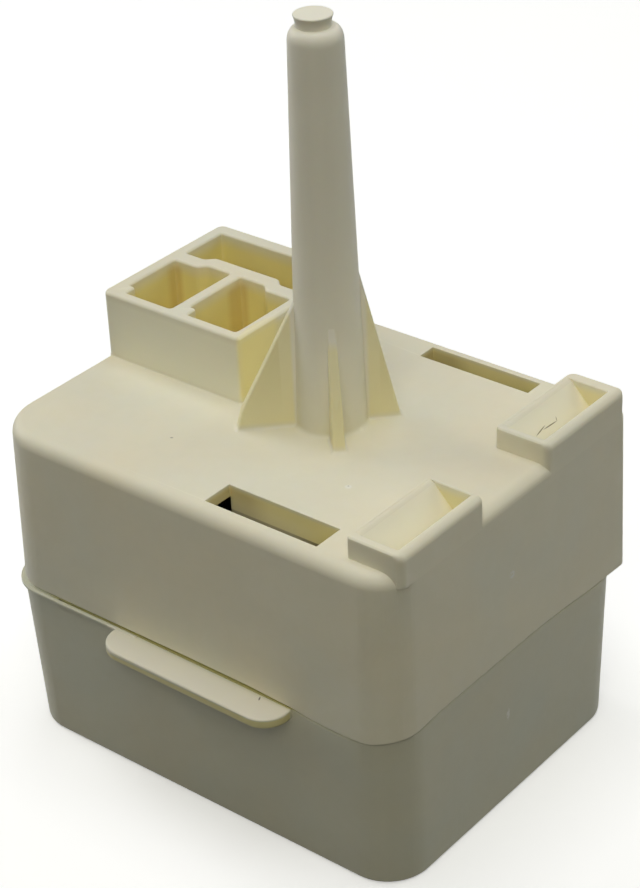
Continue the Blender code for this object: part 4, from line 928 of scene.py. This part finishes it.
def cover_shell():
    """Cover's outside, cut out for its inner room and for the base's lip."""
    levels = []
    for depth in reversed(depths(COVER_FOOT_EDGE, 3)):
        height = PARTING - SKIRT + depth
        levels.append((height, cover_section(height), (quarter(COVER_FOOT_EDGE, depth),) * 4))
    for depth in depths(max(ROOF_FILLETS), 10):
        height = ROOF_TOP - depth
        insets = tuple(quarter(radius, depth) for radius in ROOF_FILLETS)
        levels.append((height, cover_section(height), insets))
    shell = stack("cover_shell", levels, COVER_CORNERS, 16)

    def hollow(name, wall, high):
        corners = [max(radius - wall, 0.0004) for radius in COVER_CORNERS]
        low = PARTING - SKIRT - CUT_PAST
        return stack(name, [(z, cover_section(z, wall), FLAT) for z in (low, high)], corners)

    cavity = hollow("cavity", COVER_WALL, ROOF_UNDER)
    rebate = hollow("rebate", REBATE_WALL, PARTING + LIP_HEIGHT)
    combine(shell, [cavity, rebate], "DIFFERENCE")
    return shell


def block_shapes():
    """Terminal block and the floor under its pockets."""
    block = (BLOCK_LEFT, BLOCK_RIGHT, BLOCK_FRONT, BLOCK_BACK)
    edges = (BLOCK_EDGE,) * 4
    low = ROOF_TOP - SINK
    floor_x = (LEFT_POCKET[0] - 0.0007, BLOCK_RIGHT - 0.0006)
    floor_y = (FRONT_POCKET_Y - 0.0006, BACK_POCKET_END + 0.0009)
    return [
        soft_box("block", block, low, BLOCK_TOP, BLOCK_CORNERS, top=edges, foot=BLOCK_ROOT),
        plain_box("block_floor", *floor_x, *floor_y, POCKET_BOTTOM - POCKET_FLOOR, low),
    ]


def rim_mouth(name, front):
    """Cutter that rounds the inner edge of a rim."""
    mouth = (RAMP_LEFT + RIM_MOUTH_START, RAMP_RIGHT, front, front + RAMP_LENGTH)
    flare = [(RIM_TOP - RIM_MOUTH, mouth, FLAT)]
    for step in range(1, 5):
        angle = math.pi / 2 * step / 4
        out = RIM_MOUTH * (1 - math.cos(angle))
        height = RIM_TOP - RIM_MOUTH + RIM_MOUTH * math.sin(angle)
        flare.append((height, mouth, (0, -out, -out, -out)))
    flare.append((RIM_TOP + CUT_PAST, mouth, (0, -RIM_MOUTH, -RIM_MOUTH, -RIM_MOUTH)))
    return stack(name, flare, (SHARP,) * 4, 4)


def rim_shapes(side, front, walls, corners):
    """Shapes to join and to cut for one ramped pocket and its rim."""
    end = front + RAMP_LENGTH
    left = RAMP_LEFT - RIM_INNER_WALL
    rim = (left, ROOF_RIGHT + RIM_PROUD, front - walls[0], end + walls[1])
    cutter, foot = ramp_cut(side + "_ramp", front)
    sleeve = (left, RAMP_RIGHT + 0.0005, front - SLEEVE_WALL, end + SLEEVE_WALL)
    joined = [
        soft_box(side + "_rim", rim, RIM_FOOT, RIM_TOP, corners, top=RIM_EDGES),
        plain_box(side + "_ramp_sleeve", *sleeve, foot - SLEEVE_WALL * 2, ROOF_TOP - SINK),
    ]
    return joined, [cutter, rim_mouth(side + "_mouth", front)]


def slot_sleeve(name, slot, left):
    """Walls under a slot in the roof."""
    back = min(slot[1] + SLEEVE_WALL, cover_section(SLOT_FLOOR)[3] - 0.0003)
    sides = (left, SLOT_RIGHT + SLEEVE_WALL, slot[0] - SLEEVE_WALL, back)
    return plain_box(name, *sides, SLOT_FLOOR - SLEEVE_WALL, ROOF_TOP - SINK)


def pocket_cut(name, outline):
    """Cutter for a pocket of the block."""
    rounded = round_outline(outline, POCKET_CORNER)
    return flared_cut(name, rounded, POCKET_BOTTOM, BLOCK_TOP, POCKET_MOUTH)


def slot_cut(name, slot):
    """Cutter for a slot in the roof."""
    low, high = slot
    outline = [(SLOT_LEFT, low), (SLOT_RIGHT, low), (SLOT_RIGHT, high), (SLOT_LEFT, high)]
    return flared_cut(name, round_outline(outline, SLOT_CORNER), SLOT_FLOOR, ROOF_TOP, SLOT_MOUTH)


def terminal_slit(name):
    """Cutter that lets a terminal's blade through the cover."""
    (left, front, _), (right, back, top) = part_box(name)
    if right - left > WIDE_TERMINAL:
        back = back if name in BACK_TERMINALS else front + BLADE
        front = back - BLADE
    else:
        right = left + BLADE
    low, high = SLOT_FLOOR - SLEEVE_WALL, ROOF_UNDER - CUT_PAST
    if top > ROOF_TOP:
        low, high = POCKET_BOTTOM - POCKET_FLOOR, POCKET_BOTTOM
    sides = (left - SEAT_GAP, right + SEAT_GAP, front - SEAT_GAP, back + SEAT_GAP)
    return plain_box(name + "_slit", *sides, low - CUT_PAST, high + CUT_PAST)


def make_cover(material):
    """Finely moulded cover."""
    shell = cover_shell()
    joined = block_shapes() + [post()] + [rib(*values) for values in RIBS]
    cuts = []
    for values in zip(("front", "back"), RAMP_FRONTS, RIM_END_WALLS, RIM_CORNERS):
        added, cut = rim_shapes(*values)
        joined += added
        cuts += cut
    joined += [
        slot_sleeve("front_sleeve", FRONT_SLOT, SLOT_LEFT + 0.0001),
        slot_sleeve("back_sleeve", BACK_SLOT, SLOT_LEFT - SLEEVE_WALL),
    ]
    combine(shell, joined, "UNION")
    front_y, back_y = FRONT_SLOT[0] + UNDERCUT_INSET, FRONT_SLOT[1] - UNDERCUT_INSET
    undercut = (SLOT_LEFT - SLOT_UNDERCUT, SLOT_LEFT + SLOT_UNDERCUT, front_y, back_y)
    cuts += [
        pocket_cut("left_pocket", front_pocket(LEFT_POCKET, True)),
        pocket_cut("right_pocket", front_pocket(RIGHT_POCKET, False)),
        pocket_cut("back_pocket", back_pocket()),
        turned("post_core", POST, POST_CORE, 32),
        slot_cut("front_slot", FRONT_SLOT),
        slot_cut("back_slot", BACK_SLOT),
        plain_box("front_undercut", *undercut, SLOT_FLOOR + UNDERCUT_INSET, ROOF_UNDER),
    ]
    cuts += [terminal_slit(name) for name in TERMINALS]
    combine(shell, cuts, "DIFFERENCE")
    finished(shell, "cover_moulding", "cover", material, COVER_SEAM, seam_stray)


def base_shell():
    """Base's outside."""
    levels = []
    for depth in reversed(depths(UNDERSIDE_FILLET, 4)):
        insets = (quarter(UNDERSIDE_FILLET, depth),) * 4
        levels.append((depth, base_section(depth), insets))
    for depth in depths(BASE_RIM_EDGE, 3):
        height = BASE_HEIGHT - depth
        levels.append((height, base_section(height), (quarter(BASE_RIM_EDGE, depth),) * 4))
    return stack("base_shell", levels, (BASE_CORNER,) * 4, 16)


def tray_edges(rim):
    """Lip that the cover fits over, the pull tab and the ledge beside it."""
    inset = REBATE_WALL + SEAT_GAP
    heights = (BASE_HEIGHT - SINK, BASE_HEIGHT + LIP_HEIGHT)
    levels = [(z, cover_section(z, inset), FLAT) for z in heights]
    return [
        stack("lip", levels, (max(COVER_CORNERS) - REBATE_WALL,) * 4, 12),
        soft_box(
            "tab",
            (TAB_LEFT, TAB_RIGHT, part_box("base")[0][1], rim[2] + TAB_ROOT),
            TAB_TOP - TAB_THICKNESS,
            TAB_TOP,
            (TAB_CORNER, TAB_CORNER, 0.0001, 0.0001),
            top=TAB_EDGES,
            bottom=TAB_UNDER_EDGE,
            steps=12,
        ),
        soft_box(
            "ledge",
            (OUTER[0], TAB_LEFT + TAB_CORNER, rim[2] - LEDGE_PROUD, LEDGE_BACK),
            LEDGE_TOP - LEDGE_THICKNESS,
            LEDGE_TOP,
            (BASE_CORNER - 0.0001, 0.0001, 0.0001, 0.0001),
            top=LEDGE_EDGES,
            steps=16,
        ),
    ]


def base_supports():
    """What the inner pieces stand in or on."""
    foot = BASE_FLOOR - SINK
    seat = WELL_RADIUS + SEAT_GAP
    seat_top = BASE_FLOOR + SEAT_HEIGHT
    well_top = BASE_FLOOR + WELL_HEIGHT
    supports = [
        ring("overload_seat", OVERLOAD, seat + SEAT_WALL, seat, foot, seat_top),
        ring("pill_well", PILL, WELL_RADIUS, WELL_RADIUS - WELL_WALL, foot, well_top),
    ]
    for i, place in enumerate(PINS):
        profile = [(SLEEVE_RADIUS, foot), (SLEEVE_RADIUS, SUPPORT_TOP)]
        supports.append(turned("sleeve_%d" % i, place, profile, 48))
    feet = {}
    for name in TERMINALS:
        (left, front, _), (right, back, _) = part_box(name)
        feet[name] = (left + FOOT_INSET, right - FOOT_INSET, front + FOOT_INSET, back - FOOT_INSET)
    line, run, capacitor = (feet["terminal_" + name] for name in ("line", "run", "capacitor"))
    shelf = (SUPPORT_TOP - SHELF_THICKNESS, SUPPORT_TOP)
    wall_x = base_section(0.0, BASE_WALL)[0] - SINK
    pin_x, pin_y = PINS[1]
    run_sides = (run[0], pin_x, pin_y - RUN_SHELF_HALF, pin_y + RUN_SHELF_HALF)
    supports.append(plain_box("line_shelf", wall_x, *line[1:], *shelf))
    supports.append(plain_box("run_shelf", *run_sides, *shelf))
    for name in BACK_TERMINALS:
        supports.append(plain_box(name + "_pillar", *feet[name], foot, SUPPORT_TOP))
    clear_x = PILL[0] - WELL_RADIUS + WELL_WALL
    sides = (capacitor[0], clear_x, *capacitor[2:])
    supports.append(plain_box("capacitor_pillar", *sides, foot, SUPPORT_TOP))
    return supports


def make_base(material):
    """Finely moulded base tray."""
    tray = base_shell()
    rim = base_section(BASE_HEIGHT)
    combine(tray, tray_edges(rim), "UNION")
    heights = (BASE_FLOOR, BASE_HEIGHT + LIP_HEIGHT + CUT_PAST)
    levels = [(z, base_section(z, BASE_WALL), FLAT) for z in heights]
    cavity = stack("tray_cavity", levels, (BASE_CORNER - BASE_WALL,) * 4, 12)
    combine(tray, [cavity], "DIFFERENCE")
    combine(tray, base_supports(), "UNION")
    groove_plan = [
        (GROOVE_LEFT, rim[2] - GROOVE_PAST),
        (TAB_RIGHT, rim[2] - GROOVE_PAST),
        (TAB_RIGHT, rim[2] + GROOVE_DEPTH),
        (TAB_LEFT, rim[2] + GROOVE_DEPTH),
        (GROOVE_LEFT, rim[2]),
    ]
    heights = (TAB_TOP + 0.00006, BASE_HEIGHT + 0.00002)
    cuts = [loft("groove", [[(x, y, z) for x, y in groove_plan] for z in heights])]
    bore = SOCKET_RADIUS + SEAT_GAP
    for i, place in enumerate(PINS):
        profile = [(bore, BASE_FLOOR), (bore, SUPPORT_TOP + CUT_PAST)]
        cuts.append(turned("bore_%d" % i, place, profile, 48))
        cuts.append(turned("pin_hole_%d" % i, place, funnel_profile(), 48))
    combine(tray, cuts, "DIFFERENCE")
    finished(tray, "base_moulding", "base", material, BASE_SEAM, base_stray)


def funnel_profile():
    """Pin hole from below: a rounded mouth, a cone and the straight hole."""
    wide = PIN_FUNNEL_RADIUS - PIN_HOLE_RADIUS
    return [
        (PIN_FUNNEL_RADIUS + 0.0002, -0.0001),
        (PIN_FUNNEL_RADIUS + 0.00005, 0.0001),
        (PIN_FUNNEL_RADIUS - wide * 0.15, 0.0002),
        (PIN_HOLE_RADIUS + wide * 0.08, PIN_FUNNEL_DEPTH - 0.00008),
        (PIN_HOLE_RADIUS, PIN_FUNNEL_DEPTH + 0.00002),
        (PIN_HOLE_RADIUS, BASE_FLOOR + CUT_PAST),
    ]


def area_light(name, place, aim, power, colour):
    """Soft square lamp."""
    data = bpy.data.lights.new(name, "AREA")
    data.shape = "RECTANGLE"
    data.size, data.size_y = LAMP_SIZE
    data.energy = power
    data.color = colour
    lamp = bpy.data.objects.new(name, data)
    bpy.context.scene.collection.objects.link(lamp)
    lamp.location = place
    lamp.rotation_euler = (Vector(aim) - Vector(place)).to_track_quat("-Z", "Y").to_euler()


def add_sky():
    """Weak white sky that brightens towards the top."""
    world = bpy.data.worlds.new("studio")
    bpy.context.scene.world = world
    world.use_nodes = True
    sky = world.node_tree
    heading = add_node(sky, "ShaderNodeTexCoord").outputs["Generated"]
    height = add_node(sky, "ShaderNodeSeparateXYZ", {"Vector": heading}).outputs["Z"]
    level = spread(sky, height, 0.0, 1.0, 0.0, SKY_STRENGTH)
    sky.links.new(level, sky.nodes["Background"].inputs["Strength"])
    sky.nodes["Background"].inputs["Color"].default_value = WHITE


def add_floor():
    """Pale floor, just under the part so that the underside doesn't lie in its plane."""
    half = FLOOR_HALF
    corners = [(-half, -half, 0), (half, -half, 0), (half, half, 0), (-half, half, 0)]
    mesh = bpy.data.meshes.new("floor")
    mesh.from_pydata(corners, [], [(0, 1, 2, 3)])
    floor = bpy.data.objects.new("floor", mesh)
    bpy.context.scene.collection.objects.link(floor)
    paper, _, shader = shader_tree("paper")
    shader.inputs["Base Color"].default_value = PAPER_TONE
    shader.inputs["Roughness"].default_value = PAPER_ROUGHNESS
    shader.inputs["Emission Color"].default_value = WHITE
    shader.inputs["Emission Strength"].default_value = PAPER_GLOW
    mesh.materials.append(paper)
    floor.visible_diffuse = False
    floor.location.z = -FLOOR_DROP


def span(low, high, before=0.0, after=0.0):
    """Two places in metres as bounds in millimetres, moved by margins in millimetres."""
    return (low * MM + before, high * MM + after)


def cover_zones():
    """Tinted zones of the cover: painted glow, bounce light and shade, and grime at the slots'
    ends.
    """
    block_x = span(BLOCK_LEFT, BLOCK_RIGHT, 1.2, -0.9)
    block_y = span(BLOCK_FRONT, BLOCK_BACK, 0.9, -1.4)
    pockets = (block_x, block_y, (ROOF - 2.0, BLOCK_TOP * MM - 1.7))
    front_y = span(BLOCK_FRONT, BLOCK_FRONT, -0.1, 0.2)
    front_face = (span(BLOCK_LEFT, BLOCK_RIGHT), front_y, (ROOF + 0.5, ROOF + 6.6))
    right_x = span(BLOCK_RIGHT, BLOCK_RIGHT, -0.1, 0.1)
    right_face = (right_x, block_y, (ROOF + 0.3, ROOF + 6.6))
    post_x, post_y = (span(middle, middle, -3.9, 3.9) for middle in POST)
    zones = [
        # Painted glow: the pockets turned yellower
        (pockets, (0.25, 0.25, 1.5), GLOW_AND_TINT_YELLOW, 0.72),
        # Painted bounce light on the block's front face
        (front_face, (0.1, 0.1, 0.6), BLOCK_BOUNCE_LIGHT, 0.6),
        # Painted glow on the block's right face
        (right_face, (0.1, 1.0, 0.5), GLOW_AND_TINT_YELLOW, 0.35),
        # Painted bounce light on the post
        ((post_x, post_y, (ROOF + 9.0, ROOF + 50.0)), (0.1, 0.1, 8.0), POST_BOUNCE_LIGHT, 0.75),
    ]
    # Painted shade in the front pockets' left back corners
    corner_y = span(FRONT_POCKET_END, FRONT_POCKET_END, -0.7, 1.2)
    corner_z = (ROOF - 2.0, BLOCK_TOP * MM - 1.2)
    for left, _ in (LEFT_POCKET, RIGHT_POCKET):
        corner = (span(left, left, -0.2, 0.5), corner_y, corner_z)
        zones.append((corner, (0.7, 0.9, 0.8), CORNER_SHADE, 0.5))
    slot_x = span(SLOT_LEFT, SLOT_RIGHT, -0.05, 0.05)
    left_end = (slot_x[0], slot_x[0] + 2.5)
    for low_y, high_y in (FRONT_SLOT, BACK_SLOT):
        slot_y = span(low_y, high_y, -0.05, 0.05)
        # Depth past which the slot lies in painted shade, reckoned from its width
        dark = ROOF - (high_y - low_y) * MM * 0.77
        zones += [
            # Painted glow in the slots
            ((slot_x, slot_y, (ROOF - 9.0, ROOF - 0.5)), (0.1, 0.1, 0.4), GLOW_AND_TINT_YELLOW, 0.5),
            # Grime at the slots' left ends, and painted shade over the front slot's undercut
            ((left_end, slot_y, (ROOF - 9.0, ROOF - 0.7)), (2.5, 0.1, 0.6), SLOT_END_DIRT_AND_SHADE, 0.4),
            # Painted shade deep in the slot
            ((slot_x, slot_y, (ROOF - 9.0, dark - 0.1)), (0.1, 0.1, 0.1), SLOT_DEPTH_SHADE, 0.85),
        ]
    ramp_x = span(RAMP_LEFT, RAMP_RIGHT, 0.0, 0.05)
    ramp_z = (ROOF - 5.0, RIM_TOP * MM - 1.0)
    for front in RAMP_FRONTS:
        back = front + RAMP_LENGTH
        # Painted glow on the ramps' end walls
        end_wall = (ramp_x, span(back, back, -0.03, 0.03), ramp_z)
        zones.append((end_wall, (0.05, 0.03, 0.7), GLOW_AND_TINT_YELLOW, 0.8))
    return zones


def base_zones():
    """Tinted zones of the base: the tab's front face, its top, and painted shade in the groove over
    it.
    """
    front = COVER_LOW[1]
    tab_x = span(TAB_LEFT, TAB_RIGHT, -1, 1)
    front_face = (tab_x, (-24.0, front * MM - 0.2), span(TAB_TOP, TAB_TOP, -1.3, -0.25))
    top_face = (tab_x, (-24.0, front * MM - 0.3), span(TAB_TOP, TAB_TOP, -0.06, 0.45))
    # Painted shade in the groove over the tab
    groove = (
        span(GROOVE_LEFT, TAB_RIGHT),
        span(front, front, 0.1, 1.0),
        span(TAB_TOP, BASE_HEIGHT, 0.02, 0.4),
    )
    return [
        (front_face, (0.1, 0.1, 0.1), TAB_YELLOW, 0.7),
        (top_face, (0.1, 0.3, 0.05), TAB_LIGHT, 0.7),
        (groove, (2.0, 0.05, 0.05), GROOVE_SHADE_OLIVE, 0.8),
    ]


# Marks: two in the roof, one to the left of the post, a hair on the back ramp, pale scuffs that are
# partly a painted highlight of raised burrs, a fleck
COVER_MARKS = [
    ((11.96, -6.71, ROOF), (0.42, 0.42, 0.3), (0, 0, 0), PALE, 0.6, False),
    ((11.90, -6.60, ROOF), (0.13, 0.13, 0.3), (0, 0, 0), PIT, 0.8, False),
    ((-8.35, -9.66, ROOF), (0.20, 0.13, 0.3), (0, 0, 0.6), SPECK, 0.8, False),
    ((21.82, 11.85, 37.72), (0.05, 1.25, 0.3), (0, 0, 0.13), HAIR, 0.9, False),
    ((21.91, 13.45, 37.63), (0.05, 1.35, 0.3), (0, 0, -0.03), HAIR, 0.9, False),
    ((21.70, 14.75, 37.65), (0.05, 0.40, 0.3), (0, 0, 0.9), HAIR, 0.9, False),
    # Pale scuffs on the cover's right side, partly a painted highlight of raised burrs
    ((25.9, 1.08, 28.0), (0.6, 0.55, 0.50), (0, 0, 0), PALE, 0.9, True),
    ((25.9, 1.9, 26.6), (0.6, 0.18, 0.10), (0, 0, 0), PALE, 0.5, True),
]
BASE_MARKS = [
    # Pale scuff on the base's right side, partly a painted highlight of a raised burr
    ((25.75, 0.60, 11.1), (0.6, 0.35, 0.85), (0, 0, 0), PALE, 0.8, True),
    ((9.81, -19.13, TAB_TOP * MM), (0.10, 0.36, 0.2), (0, 0, 0.45), FLECK, 0.9, False),
]
# Each plastic: its tone, the colour of the painted glow in its hollows, and the share of edge
# paling that stands for wear and painted highlight
IVORY = ((0.85, 0.815, 0.65), (0.90, 0.80, 0.36), 0.5)
GREY_IVORY = ((0.69, 0.68, 0.54), (0.72, 0.66, 0.33), 0.4)

# Metals and other dark pieces: tone, stain, lowest and highest roughness, and 0 if no metal
METALS = {
    "socket_brass": ((0.78, 0.60, 0.30), (0.42, 0.30, 0.16), 0.22, 0.42),
    "tab_brass": ((0.80, 0.66, 0.36), (0.50, 0.38, 0.20), 0.2, 0.38),
    "link_brass": ((0.74, 0.57, 0.30), (0.45, 0.32, 0.18), 0.25, 0.45),
    "cup_steel": ((0.60, 0.60, 0.58), (0.36, 0.33, 0.30), 0.25, 0.45),
    "spring_steel": ((0.64, 0.64, 0.64), (0.45, 0.42, 0.38), 0.2, 0.35),
    "bimetal": ((0.68, 0.58, 0.46), (0.45, 0.36, 0.30), 0.2, 0.4),
    "heater_wire": ((0.42, 0.40, 0.39), (0.22, 0.20, 0.20), 0.3, 0.5),
    "dark_resin": ((0.060, 0.045, 0.040), (0.10, 0.085, 0.07), 0.35, 0.6, 0.0),
    "pill_ceramic": ((0.11, 0.105, 0.105), (0.20, 0.19, 0.18), 0.6, 0.85, 0.0),
}

add_camera()
bpy.context.scene.view_settings.view_transform = "Standard"
add_sky()
add_floor()
for name, (place, aim, power, colour) in LAMPS.items():
    area_light(name, place, aim, power, colour)

ivory = moulded_plastic("ivory", *IVORY, cover_zones(), COVER_MARKS, ribs=True)
grey_ivory = moulded_plastic("ivory_base", *GREY_IVORY, base_zones(), BASE_MARKS)
metals = {slot: worn_metal(slot, *values) for slot, values in METALS.items()}
for part in frame["record"]["subparts"]:
    if part["material_slot"] in metals:
        mesh = frame["nodes"][part["node"]].data
        mesh.materials.clear()
        mesh.materials.append(metals[part["material_slot"]])

make_cover(ivory)
make_base(grey_ivory)
for item in list(SPARE.objects):
    bpy.data.objects.remove(item, do_unlink=True)
bpy.data.collections.remove(SPARE)
